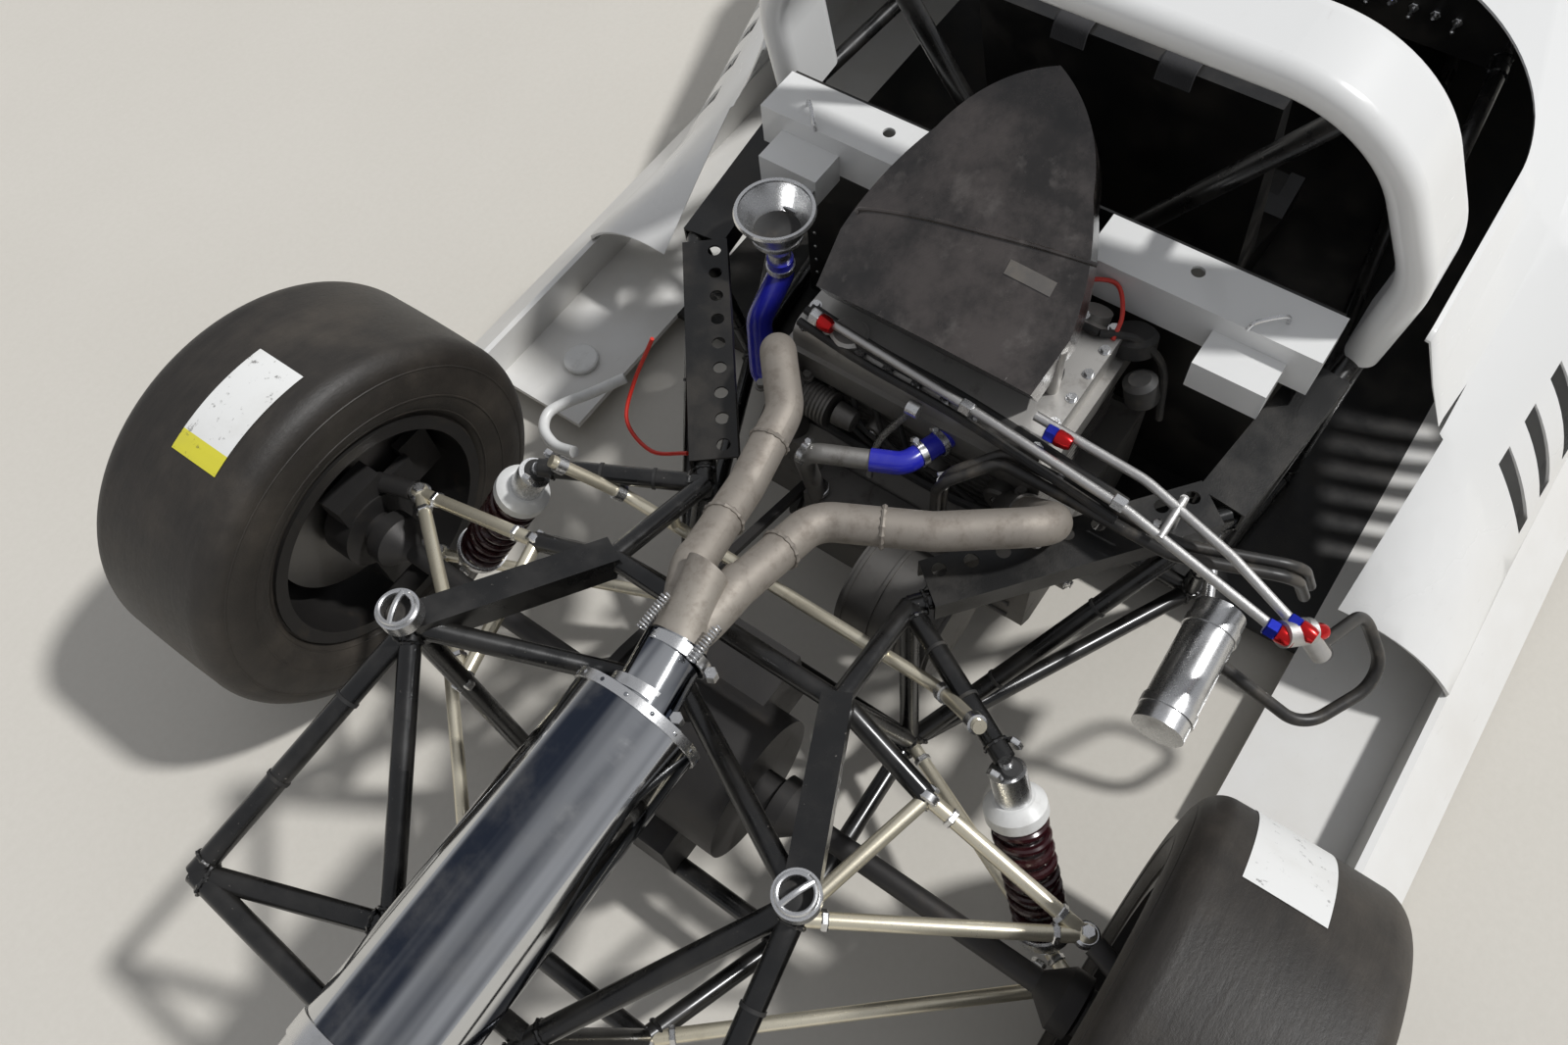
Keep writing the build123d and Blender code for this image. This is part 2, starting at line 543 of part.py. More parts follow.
# Exhaust: two pipes into a collector, a sleeve and the silencer
COLLECTOR_X = 110
SLEEVE_X = 30
left_pipe = bent([left_port, left_rise, (352, 92, 503), (240, 69, 505), (COLLECTOR_X, 42, SILENCER_Z)],
                 PIPE_R, [45, 60, 60])
right_pipe = bent([right_port, right_rise, (309, -142, 503), (247, -23, 505),
                   (COLLECTOR_X, -12, SILENCER_Z)], PIPE_R, [45, 45, 45])
collector = loft([Plane(origin=(COLLECTOR_X, 15, SILENCER_Z), z_dir=(-1, 0, 0)) * SlotOverall(106, 52),
                  Plane(origin=(SLEEVE_X, 0, SILENCER_Z), z_dir=(-1, 0, 0)) * Circle(33)])
put("exhaust_left", left_pipe - collector)
put("exhaust_right", right_pipe - collector - left_pipe)
put("collector", collector)
silencer_front = -50
silencer_rear = silencer_front - SILENCER_LONG
silencer = rod((silencer_rear, SILENCER_Y, SILENCER_Z), (silencer_front, SILENCER_Y, SILENCER_Z), SILENCER_R)
silencer += rod((SLEEVE_X, 0, SILENCER_Z), (silencer_front - 10, SILENCER_Y, SILENCER_Z), 36)
silencer += rod((silencer_rear + 10, SILENCER_Y, SILENCER_Z), (X_TAIL, SILENCER_Y, SILENCER_Z), TAIL_PIPE_R)
silencer -= rod((silencer_rear - 20, SILENCER_Y, SILENCER_Z), (X_TAIL - 10, SILENCER_Y, SILENCER_Z),
                TAIL_PIPE_R - 3)
hanger = rod((TAIL["end"][0], SILENCER_Y, TAIL["end"][2]), (TAIL["end"][0], SILENCER_Y, SILENCER_Z - 60), 9)
put("silencer", silencer + hanger - collector - frame)


def caliper(disc_y):
    """A block over the rim of a disc that turns about the y axis, its slot clear of the disc."""
    inner, outer = disc_y - DISC_THICK / 2 - CALIPER_GAP, disc_y + DISC_THICK / 2 + CALIPER_GAP
    block = box(CALIPER_IN, CALIPER_OUT, inner - CALIPER_WALL, outer + CALIPER_WALL,
                -CALIPER_HALF, CALIPER_HALF)
    block -= Pos(0, disc_y, 0) * wheel_disc(DISC_RADIUS + CALIPER_BRIDGE, outer - inner)
    return block + box(30, CALIPER_IN + 5, inner - 22, inner - 9, -26, 26)


# Rear suspension
DAMPER_R = 8
DAMPER_BODY_R = 21
SPRING_R = 33
SPRING_BORE = 24
UPRIGHT_Y = REAR["y"] - 74
vertical_end = (TAIL["cup"][0], 237, 402)
upright = Pos(0, UPRIGHT_Y, AXLE_Z) * wheel_disc(58, 44)
upright += box(-32, 44, UPRIGHT_Y - 19, UPRIGHT_Y + 19, 165, 370)
upright += rod((40, UPRIGHT_Y - 7, upper_arm_out[2]), (55, upper_arm_out[1] + 12, upper_arm_out[2]), 13)
upright += rod((30, UPRIGHT_Y - 2, 180), (lower_arm_out[0], lower_arm_out[1] + 12, 172), 13)
upright += Pos(0, 0, AXLE_Z) * caliper(REAR["y"] + REAR["disc"])
upright -= Pos(0, UPRIGHT_Y, AXLE_Z) * wheel_disc(HUB_RADIUS + HUB_CLEAR, 300)
put("rear_uprights", both(upright))
upper_arm = bars(ARM_R, (upper_arm_out, upper_arm_front), (upper_arm_out, vertical_end),
                 (upper_arm_front, vertical_end))
upper_arm = upper_arm + Pos(*upper_arm_out) * Sphere(13) - upright - frame
lower_arm = bars(ARM_R, (lower_arm_out, LOW["drive"]), (lower_arm_out, LOW["end"]))
lower_arm = lower_arm + Pos(*lower_arm_out) * Sphere(13) - upright - frame
put("rear_upper_arms", both(upper_arm))
put("rear_lower_arms", both(lower_arm))
damper_low = at_x(lower_arm_out, LOW["drive"], lower_arm_out[0] + 22)
damper = rod(damper_low, damper_top, DAMPER_R)
for start, end, r in ((0.13, 0.16, SPRING_R), (0.74, 0.77, SPRING_R), (0.5, 0.95, DAMPER_BODY_R)):
    damper += rod(between(damper_low, damper_top, start), between(damper_low, damper_top, end), r)
put("rear_dampers", both(damper - lower_arm - frame))
spring_run = (between(damper_low, damper_top, 0.16), between(damper_low, damper_top, 0.74))
put("rear_springs", both(rod(*spring_run, SPRING_R) - rod(*spring_run, SPRING_BORE)))
roll_bar_post = at_x(TOP["bay"], TOP["beam"], 190)
roll_bar = bent([(150, -300, 480), (190, -230, 400), (190, 230, 400), (150, 300, 480)], DAMPER_R, [40, 40])
for side in (1, -1):
    roll_bar += rod((190, side * roll_bar_post[1], 402), (190, side * roll_bar_post[1], roll_bar_post[2]), 7)
put("anti_roll_bar", roll_bar - frame)

# Front suspension: eyes on the kingpin axis above and below each knuckle
EYE_R = 16
EYE_TALL = 16
PIN_R = 6
PIN_CLEAR = 0.5
upper_eye = (WHEELBASE, KINGPIN_Y, 392)
lower_eye = (WHEELBASE, KINGPIN_Y, 125)


def front_arm(eye, front, rear, knuckle_side):
    arm = bars(ARM_R, (eye, front), (eye, rear)) + Pos(*eye) * Cylinder(EYE_R, EYE_TALL)
    arm -= Pos(*eye) * Cylinder(PIN_R + PIN_CLEAR, 2.5 * EYE_TALL)
    return arm - Pos(eye[0], eye[1], eye[2] + knuckle_side * 20) * Cylinder(60, 24) - frame


def on_rail(rail, offset):
    return at_x(rail["nose"], rail["scuttle"], WHEELBASE + offset)


upper_front_arm = front_arm(upper_eye, on_rail(TOP, 95), on_rail(TOP, -125), -1)
lower_front_arm = front_arm(lower_eye, on_rail(LOW, 150), on_rail(LOW, -150), 1)
put("front_arms", both(upper_front_arm + lower_front_arm))
shock_low = at_x(lower_eye, on_rail(LOW, -150), WHEELBASE - 48)
shock_top = on_rail(TOP, -38)
shock = rod(shock_low, shock_top, DAMPER_R)
shock += rod(between(shock_low, shock_top, 0.2), between(shock_low, shock_top, 0.85), 27)
put("front_dampers", both(shock - lower_front_arm - frame))

# Knuckles, rack and steering wheel
ARM_Z = RACK_Z + 16
HUB_Y = KINGPIN_Y + 12
BUSH = 0.5
knuckle = Pos(WHEELBASE, HUB_Y, FRONT["radius"]) * wheel_disc(55, 40)
knuckle += box(WHEELBASE - 22, WHEELBASE + 22, KINGPIN_Y - 16, KINGPIN_Y + 22,
               lower_eye[2] + 11, upper_eye[2] - 11)
knuckle += Pos(WHEELBASE, KINGPIN_Y, (lower_eye[2] + upper_eye[2]) / 2) * Cylinder(PIN_R, 280)
knuckle += beam((WHEELBASE + 10, KINGPIN_Y - 8, ARM_Z), (RACK_X, STEER_ARM_Y, ARM_Z), 26, 14)
knuckle += Pos(RACK_X, STEER_ARM_Y, ARM_Z) * Cylinder(13, 14)
knuckle += Pos(WHEELBASE, 0, FRONT["radius"]) * mirror(caliper(FRONT["y"] + FRONT["disc"]), about=Plane.YZ)
knuckle -= Pos(WHEELBASE, FRONT["y"], FRONT["radius"]) * wheel_disc(HUB_RADIUS + HUB_CLEAR, 300)
put("knuckle_left", knuckle)
put("knuckle_right", other_side(knuckle))
rack_house = Pos(RACK_X, 0, RACK_Z) * wheel_disc(20, 300)
rack_house += both(box(RACK_X - 14, RACK_X + 14, 100, 126, FLOOR_TOP, RACK_Z - 10))
rack_house += rod((RACK_X - 50, 0, RACK_Z + 36), (RACK_X - 2, 0, RACK_Z + 8), 17)
rack_house -= Pos(RACK_X, 0, RACK_Z) * wheel_disc(COLUMN_R + BUSH, 400)
put("rack_housing", rack_house - rod(COLUMN_TOP, COLUMN_LOW, COLUMN_R + BUSH))
rack = Pos(RACK_X, 0, RACK_Z) * wheel_disc(9, 640)
rack += Pos(RACK_X, 0, RACK_Z) * wheel_disc(7, 2 * STEER_ARM_Y)
rack += both(Pos(RACK_X, STEER_ARM_Y, RACK_Z - 1) * Cylinder(12, 14))
put("steering_rack", rack)
wheel_plane = Plane(origin=vec(COLUMN_TOP), x_dir=(0, 1, 0), z_dir=vec(COLUMN_TOP) - vec(COLUMN_LOW))
steering_wheel = wheel_plane * (Torus(122, 13) + Box(240, 34, 8) + Cylinder(34, 20))
put("steering_wheel", steering_wheel + rod(COLUMN_TOP, COLUMN_LOW, COLUMN_R))

# Filler funnel and the canister
FILLER = (600, 285, 505)
NECK_R = 16
funnel = [(NECK_R - 3, -110), (NECK_R - 3, -76), (30, -42), (50, 0), (53, 0), (53, -4), (33, -44),
          (NECK_R, -76),
          (NECK_R, -110)]
filler = Pos(*FILLER) * Rot(90, 0, 0) * revolve(make_face(Polyline(*funnel, close=True)), Axis.Y)
filler += box(632, BOX_REAR, 277, 297, 464, 476)
put("filler_neck", filler)
tie_point = flip(at_z(LOW["bay"], TOP["elbow"], 300))
CAN_R = 33
can_start, can_end = (322, -455, 300), (502, -449, 300)
put("canister", rod(can_start, can_end, CAN_R) + rod((480, -440, 300), tie_point, 8) - frame)

# Two braided lines side by side across the bay, ending in one fitting
LINE_R = 6
POST_R = 5
FITTING_R = 11
left_post = (482, 120, 470)
right_post = flip(at_x(TOP["bay"], TOP["elbow"], 500))
lines = bent([(490, 147, 505), (470, -106, 505), (452, -307, 500), (418, -512, 480)], LINE_R, [120, 120])
lines += bent([(505, -160, 503), (498, -307, 500), (467, -429, 492), (434, -524, 480)], LINE_R, [120, 120])
lines += rod(left_post, (489, 130, 504), POST_R)
lines += rod(right_post, (right_post[0], right_post[1], 500), POST_R)
lines += rod((right_post[0] - 60, right_post[1], 498), (right_post[0], right_post[1], 498), POST_R)
fitting_top, fitting_end = (440, -524, 478), (440, -560, 440)
lines += rod((418, -512, 480), (446, -536, 466), 15) + rod(fitting_top, fitting_end, FITTING_R)
put("cross_line", lines - frame - engine - right_plates)

# Black water hoses: a pair from the gearbox top to the side pod, and one in a loop from the canister
# to the fitting
HOSE_R = 7
HOSE_APART = 17
HOSE_CLEAR = 0.3
hoses = []
for shift in (0, -HOSE_APART):
    hoses.append(bent([(412 + shift, -96, CASE_TOP - 18 + HOSE_CLEAR), (412 + shift, -96, 440),
                       (464 + shift, -150, 468),
                       (464 + shift, -372, 466), (520 + shift, -500, 455), (560 + shift, -520, 360)], HOSE_R,
                      [30, 30, 60, 45]))
loop = bent([(440, -475, 300), (452, -600, 232), (560, -655, 250), (580, -590, 330), (470, -556, 400),
             (440, -564, 450)], HOSE_R + 1, [50, 45, 45, 25])
loop -= rod(can_start, can_end, CAN_R + HOSE_CLEAR)
past_fitting = tuple(vec(fitting_end) + (vec(fitting_end) - vec(fitting_top)).normalized() * HOSE_CLEAR)
loop -= rod(fitting_top, past_fitting, FITTING_R + HOSE_CLEAR) + box(420, 460, -600, -520, 441, 460)
hoses.append(loop)
put("water_hoses", Compound([hose.solids()[0] for hose in hoses]))

# Blue hoses: from the funnel's neck down to the crankcase, and from the coolant pipe to the cylinder head
BLUE_R = 19
blue = bent([(FILLER[0], FILLER[1], 412), (FILLER[0], FILLER[1], 380), (545, 290, 330), (506, 262, 262),
             (506, CASE_LEFT, 262)], BLUE_R, [20, 40, 20])
blue -= rod((FILLER[0], FILLER[1], 394), (FILLER[0], FILLER[1], 420), NECK_R)
short_start = between(coolant_turn, coolant_joint, 1.005)
short_bend = between(coolant_turn, coolant_joint, 1.5)
short = bent([short_start, short_bend, (HEAD_REAR + 6, -66, 421)], BLUE_R - 4, [30])
short -= box(HEAD_REAR - HOSE_CLEAR, HEAD_REAR + 40, -120, 0, 380, 460)
put("blue_hoses", Compound([*blue.solids(), *short.solids()]))


def tyre(size):
    """A slick: flat tread with round shoulders, bulged walls and a bead each side."""
    r, half_w, bead = size["radius"], size["width"] / 2, size["rim"] + SEATED
    bead_w = size["rim_width"] / 2 - 6 - SEATED
    foot, tread_w, shoulder = bead + 12, half_w - 40, r - 30
    wall_mid = (bead + r) / 2 + 6
    edges = [ThreePointArc((foot, bead_w), (wall_mid, half_w), (shoulder, half_w - 5)),
             ThreePointArc((shoulder, half_w - 5), (r - 9, half_w - 16), (r - 1, tread_w)),
             ThreePointArc((r - 1, tread_w), (r, 0), (r - 1, -tread_w)),
             ThreePointArc((r - 1, -tread_w), (r - 9, 16 - half_w), (shoulder, 5 - half_w)),
             ThreePointArc((shoulder, 5 - half_w), (wall_mid, -half_w), (foot, -bead_w))]
    inside = Polyline((foot, -bead_w), (bead, -bead_w), (bead, bead_w), (foot, bead_w))
    return revolve(make_face([*edges, *inside.edges()]), Axis.Y)


def rim(size):
    """An open barrel with a face of eight windows; y runs outwards from the middle of the wheel."""
    r, half_w = size["rim"], size["rim_width"] / 2
    made = wheel_disc(r, 2 * half_w - 12) - wheel_disc(r - BARREL, 2 * half_w - 12)
    for side in (1, -1):
        made += Pos(0, side * (half_w - 3), 0) * (wheel_disc(r + BARREL, 6) - wheel_disc(r - BARREL, 6))
    face = wheel_disc(r - 5, 12)
    for i in range(8):
        face -= Rot(0, i * 45, 0) * Pos(108, 0, 0) * wheel_disc(24, 40)
    made += Pos(0, size["face"], 0) * face + Pos(0, size["face"] - 8, 0) * wheel_disc(58, 24)
    made += Pos(0, (size["hub"] + size["face"]) / 2, 0) * wheel_disc(HUB_RADIUS, size["face"] - size["hub"])
    return made


def driveshaft():
    """A half shaft with a boot at each joint and a stub in the drive and in the hub."""
    hub_y = REAR["y"] + REAR["hub"]
    half_shaft = [(0, 60), (HUB_RADIUS, 60), (HUB_RADIUS, 124), (38, 128), (38, 146), (14, 176),
                  (14, hub_y - 75),
                  (38, hub_y - 47), (38, hub_y - 25), (HUB_RADIUS, hub_y - 21), (HUB_RADIUS, hub_y),
                  (0, hub_y)]
    return Pos(0, 0, AXLE_Z) * revolve(make_face(Polyline(*half_shaft, close=True)), Axis.Y)


def wheel_set(name, size):
    for side, word in ((1, "left"), (-1, "right")):
        place = Pos(size["x"], side * size["y"], size["radius"]) * Rot(0, 0, 0 if side > 0 else 180)
        put(f"tyre_{name}_{word}", place * tyre(size))
        put(f"rim_{name}_{word}", place * rim(size))
        ring = wheel_disc(DISC_RADIUS, DISC_THICK) - wheel_disc(HUB_RADIUS, DISC_THICK)
        put(f"disc_{name}_{word}", place * (Pos(0, size["disc"], 0) * ring))


wheel_set("rear", REAR)
wheel_set("front", FRONT)
put("driveshaft_left", driveshaft())
put("driveshaft_right", other_side(driveshaft()))
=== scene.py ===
"""Open sports racing car with its rear deck off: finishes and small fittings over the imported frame."""
import json
import math

import bmesh
import bpy
from mathutils import Matrix, Vector


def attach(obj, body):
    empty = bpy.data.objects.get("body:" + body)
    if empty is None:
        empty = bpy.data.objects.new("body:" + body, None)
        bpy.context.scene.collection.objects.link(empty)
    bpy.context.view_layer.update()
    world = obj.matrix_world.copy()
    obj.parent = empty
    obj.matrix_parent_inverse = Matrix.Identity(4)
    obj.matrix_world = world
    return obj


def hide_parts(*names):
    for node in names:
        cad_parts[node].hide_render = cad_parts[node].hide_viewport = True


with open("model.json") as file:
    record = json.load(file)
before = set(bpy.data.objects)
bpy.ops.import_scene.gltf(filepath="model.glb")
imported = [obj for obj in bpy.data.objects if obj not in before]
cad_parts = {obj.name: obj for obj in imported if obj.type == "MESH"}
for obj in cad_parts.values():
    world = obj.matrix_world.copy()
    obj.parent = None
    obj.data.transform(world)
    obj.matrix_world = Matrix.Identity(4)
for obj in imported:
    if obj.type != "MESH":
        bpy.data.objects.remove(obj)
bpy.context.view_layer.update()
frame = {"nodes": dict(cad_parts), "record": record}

# The part's origin lies this far ahead of the rear axle; places below are given from the rear axle
MIDDLE = 1.24
UP, DOWN, OUT = (0, 0, 1), (0, 0, -1), (0, 1, 0)


def place(x, y, z):
    """A point given from the rear axle, in the part's frame."""
    return Vector((x - MIDDLE, y, z))


def mirrored(p):
    return (p[0], -p[1], p[2])


def between(a, b, t):
    return tuple(p + (q - p) * t for p, q in zip(a, b))


# Camera, as solved from the photo: place, turn and lens
CAMERA_PLACE = place(-0.252, -0.437, 1.705)
CAMERA_YAW, CAMERA_DIP, CAMERA_ROLL = 0.746, 1.074, -0.146
FOCAL_PIXELS, FRAME_PIXELS, SENSOR = 1227.0, 1600.0, 36.0


def aim_camera():
    look = Vector((math.cos(CAMERA_YAW) * math.cos(CAMERA_DIP), math.sin(CAMERA_YAW) * math.cos(CAMERA_DIP),
                   -math.sin(CAMERA_DIP)))
    level = Vector((math.sin(CAMERA_YAW), -math.cos(CAMERA_YAW), 0.0))
    raised = level.cross(look)
    right = math.cos(CAMERA_ROLL) * level + math.sin(CAMERA_ROLL) * raised
    up = -math.sin(CAMERA_ROLL) * level + math.cos(CAMERA_ROLL) * raised
    data = bpy.data.cameras.new("photo_camera")
    data.sensor_width, data.lens = SENSOR, FOCAL_PIXELS / FRAME_PIXELS * SENSOR
    data.clip_start, data.clip_end = 0.02, 60.0
    camera = bpy.data.objects.new("photo_camera", data)
    bpy.context.collection.objects.link(camera)
    turn = Matrix((right, up, -look)).transposed().to_4x4()
    camera.matrix_world = Matrix.Translation(CAMERA_PLACE) @ turn
    bpy.context.scene.camera = camera


aim_camera()
bpy.context.scene.view_settings.view_transform = "Standard"


# Materials

class Value:
    """A number or vector that varies over a surface; arithmetic on it adds Math nodes."""

    def __init__(self, finish, socket):
        self.finish, self.socket = finish, socket

    def math(self, operation, *others, clamp=False):
        inputs = {0: self}
        inputs.update({i + 1: other for i, other in enumerate(others)})
        return self.finish.node("ShaderNodeMath", {"operation": operation, "use_clamp": clamp}, inputs)

    def flipped(self, operation, other):
        return self.finish.node("ShaderNodeMath", {"operation": operation}, {0: other, 1: self})

    def __add__(self, other):
        return self.math("ADD", other)

    __radd__ = __add__

    def __sub__(self, other):
        return self.math("SUBTRACT", other)

    def __rsub__(self, other):
        return self.flipped("SUBTRACT", other)

    def __mul__(self, other):
        return self.math("MULTIPLY", other)

    __rmul__ = __mul__

    def __truediv__(self, other):
        return self.math("DIVIDE", other)

    def __rtruediv__(self, other):
        return self.flipped("DIVIDE", other)

    def __pow__(self, other):
        return self.math("POWER", other)

    def clamped(self):
        return self.math("ADD", 0.0, clamp=True)

    def rises(self, low, high):
        """0 below low, 1 above high, smooth between."""
        return self.finish.node("ShaderNodeMapRange", {"interpolation_type": "SMOOTHSTEP"},
                                {0: self, 1: low, 2: high, 3: 0.0, 4: 1.0})

    def falls(self, low, high):
        return 1.0 - self.rises(low, high)


class Finish:
    """A procedural material: colours, roughness and bump are built from nodes by node()."""

    def __init__(self, name, **fixed):
        self.material = bpy.data.materials.new(name)
        self.material.use_nodes = True
        self.tree = self.material.node_tree
        self.shader = self.tree.nodes["Principled BSDF"]
        for socket, value in fixed.items():
            self.shader.inputs[socket.replace("_", " ")].default_value = value
        self.coords = self.node("ShaderNodeTexCoord", {}, {}, out="Object")

    def node(self, kind, settings, inputs, out=0):
        made = self.tree.nodes.new(kind)
        for key, value in settings.items():
            setattr(made, key, value)
        for key, value in inputs.items():
            if isinstance(value, Value):
                self.tree.links.new(value.socket, made.inputs[key])
            elif isinstance(value, (tuple, list)) and len(value) == 3 and made.inputs[key].type == "RGBA":
                made.inputs[key].default_value = (*value, 1.0)
            else:
                made.inputs[key].default_value = value
        return Value(self, made.outputs[out])

    def axis(self, which):
        return self.node("ShaderNodeSeparateXYZ", {}, {0: self.coords}, out=which)

    def stretched(self, x, y, z):
        return self.node("ShaderNodeVectorMath", {"operation": "MULTIPLY"}, {0: self.coords, 1: (x, y, z)})

    def noise(self, scale, detail=4.0, rough=0.55, coords=None, warp=0.0):
        return self.node("ShaderNodeTexNoise", {}, {"Vector": coords or self.coords, "Scale": scale,
                                                    "Detail": detail, "Roughness": rough, "Distortion": warp})

    def cells(self, scale, feature="F1", coords=None):
        return self.node("ShaderNodeTexVoronoi", {"feature": feature}, {"Vector": coords or self.coords,
                                                                       "Scale": scale}, out="Distance")

    def mix(self, factor, low, high):
        return self.node("ShaderNodeMix", {"data_type": "RGBA"}, {0: factor, 6: low, 7: high}, out=2)

    def colour(self, value):
        self.tree.links.new(value.socket, self.shader.inputs["Base Color"])

    def rough(self, value):
        self.tree.links.new(value.socket, self.shader.inputs["Roughness"])

    def metal(self, value):
        self.tree.links.new(value.socket, self.shader.inputs["Metallic"])

    def bump(self, height, strength=0.3, distance=0.002):
        made = self.node("ShaderNodeBump", {}, {"Height": height, "Strength": strength, "Distance": distance},
                         out="Normal")
        self.tree.links.new(made.socket, self.shader.inputs["Normal"])


def white_panel():
    """White gel coat: faint waviness, dust low down, grey scuffs."""
    f = Finish("white_panel", Coat_Weight=0.35, Coat_Roughness=0.12)
    dust = f.noise(9.0, 6.0) * f.axis(2).falls(0.02, 0.30)
    scuff = f.noise(34.0, 8.0, 0.7, f.stretched(1.0, 3.0, 3.0)).rises(0.60, 0.74)
    base = f.mix(dust * 0.55, (0.80, 0.80, 0.785), (0.50, 0.45, 0.37))
    f.colour(f.mix(scuff * 0.22, base, (0.42, 0.40, 0.37)))
    f.rough(0.24 + 0.30 * dust + 0.15 * scuff)
    f.bump(f.noise(26.0, 2.0), 0.08, 0.002)
    return f.material


def black_tube():
    """Gloss black paint on steel tube, with dust and small chips to grey."""
    f = Finish("black_tube", Coat_Weight=0.3, Coat_Roughness=0.15)
    chip = f.noise(180.0, 5.0, 0.65).rises(0.68, 0.72)
    dust = f.noise(14.0, 6.0, 0.6).rises(0.35, 0.8)
    base = f.mix(dust * 0.4, (0.004, 0.004, 0.004), (0.040, 0.036, 0.031))
    f.colour(f.mix(chip, base, (0.20, 0.18, 0.16)))
    f.rough(0.20 + 0.35 * dust)
    f.bump(f.noise(420.0, 3.0), 0.10, 0.0006)
    return f.material


def black_panel():
    f = Finish("black_panel")
    dust = f.noise(11.0, 7.0, 0.62).rises(0.38, 0.82)
    grain = f.noise(520.0, 3.0)
    f.colour(f.mix(dust * 0.5, (0.007, 0.007, 0.007), (0.066, 0.056, 0.044)))
    f.rough(0.36 + 0.30 * dust)
    f.bump(grain, 0.25, 0.0008)
    return f.material


def dark_cover():
    """Satin moulded laminate, brown-grey, with long fine scratches and a faint twill."""
    f = Finish("dark_cover", Coat_Weight=0.5, Coat_Roughness=0.22)
    cloud = f.noise(9.0, 7.0, 0.68).rises(0.36, 0.66)
    # Lighter spots: partly real smudges, partly painted highlight
    smudge_and_highlight = f.noise(24.0, 6.0, 0.6).rises(0.56, 0.74)
    scratch = f.noise(30.0, 9.0, 0.75, f.stretched(0.6, 6.0, 3.0), 0.6).rises(0.66, 0.70)
    u = (f.axis(0) + f.axis(1)) * 1400.0
    twill = u.math("SINE") * 0.5 + 0.5
    base = f.mix(cloud, (0.011, 0.009, 0.008), (0.058, 0.048, 0.044))
    smudged_and_highlit = f.mix(smudge_and_highlight * 0.5, base, (0.115, 0.102, 0.094))
    f.colour(f.mix(scratch * 0.6, smudged_and_highlit, (0.34, 0.32, 0.30)))
    f.rough(0.22 + 0.16 * cloud + 0.16 * smudge_and_highlight)
    f.bump(twill * 0.3 + cloud, 0.12, 0.001)
    return f.material


def tyre_rubber():
    """Worn slick: brown-black, scuffed along its turn, smoother and greyer on the walls."""
    f = Finish("tyre_rubber")
    streak = f.noise(16.0, 8.0, 0.7, f.stretched(1.0, 5.0, 1.0))
    pick = f.noise(150.0, 6.0, 0.75)
    dust = f.noise(6.0, 6.0, 0.6).rises(0.42, 0.80)
    base = f.mix(streak, (0.008, 0.007, 0.006), (0.040, 0.034, 0.028))
    f.colour(f.mix(dust * 0.45, base, (0.130, 0.108, 0.084)))
    f.rough(0.40 + 0.20 * pick + 0.16 * dust)
    f.bump(pick * 0.6 + streak, 0.45, 0.0018)
    return f.material


def metal_finish(name, low, high, rough, grain=60.0, stain=(0.10, 0.08, 0.06), stained=0.25, metallic=1.0,
                 bump=0.12, painted_bay_shade=0.0):
    """A metal with colour that drifts, a grain in its gloss, dirt in patches, and painted shade deep in the bay: near
    black towards the bottom.
    """
    f = Finish(name, Metallic=metallic)
    drift = f.noise(8.0, 5.0)
    dirt = f.noise(21.0, 8.0, 0.68).rises(0.52, 0.80)
    fine = f.noise(grain * 8.0, 4.0, 0.6)
    clean = f.mix(dirt * stained, f.mix(drift, low, high), stain)
    # Painted shade: the colour goes near black low in the bay, where shade falls
    painted_low_shade = (f.axis(2) - drift * 0.06).falls(0.33, 0.47)
    f.colour(f.mix(painted_low_shade * painted_bay_shade, clean, (0.030, 0.026, 0.022)))
    f.rough(rough + 0.16 * fine + 0.30 * stained * dirt)
    f.bump(fine, bump, 0.0006)
    return f.material


def exhaust_steel():
    """Mild steel pipe coloured by heat: taupe, browner and bluer where the pipes join."""
    f = Finish("exhaust_steel", Metallic=0.55)
    along = f.axis(0) + MIDDLE
    heat = (f.noise(7.0, 5.0) * 0.10 + along).rises(0.02, 0.24)
    soot = f.noise(46.0, 8.0, 0.7)
    base = f.mix(heat, (0.430, 0.392, 0.340), (0.320, 0.288, 0.250))
    f.colour(f.mix(soot.rises(0.45, 0.70) * 0.50, base, (0.170, 0.140, 0.112)))
    f.rough(0.52 + 0.22 * soot)
    f.bump(soot, 0.25, 0.0010)
    return f.material


def polished_steel():
    """Mirror-polished sleeve with long dark blue-grey streaks along it, which are painted reflection, with fine rings
    round it and fingermarks.
    """
    f = Finish("polished_steel", Metallic=1.0)
    ring = f.noise(4.0, 4.0, 0.6, f.stretched(160.0, 1.0, 1.0))
    smear = f.noise(14.0, 5.0, 0.6).rises(0.45, 0.8)
    # Painted reflection: long dark blue-grey bands along the sleeve stand in for what the polished steel mirrors
    streak = f.noise(9.0, 2.0, 0.4, f.stretched(0.05, 3.4, 3.4)).rises(0.40, 0.60)
    base = f.mix(streak, (0.045, 0.055, 0.080), (0.66, 0.67, 0.68))
    f.colour(f.mix(smear * 0.3, base, (0.46, 0.44, 0.40)))
    f.rough(0.07 + 0.10 * smear + 0.04 * ring)
    f.bump(ring, 0.03, 0.0004)
    return f.material


def coloured(name, low, high, rough, metallic=0.0, dirt=0.3, grain=240.0, coat=0.0):
    """Paint, anodising or rubber: one colour that drifts, dust in patches and a fine grain."""
    f = Finish(name, Metallic=metallic, Coat_Weight=coat, Coat_Roughness=0.2)
    dust = f.noise(24.0, 7.0, 0.65).rises(0.46, 0.80)
    f.colour(f.mix(dust * dirt, f.mix(f.noise(12.0), low, high), (0.20, 0.17, 0.13)))
    f.rough(rough + 0.25 * dirt * dust)
    f.bump(f.noise(grain, 3.0), 0.15, 0.0004)
    return f.material


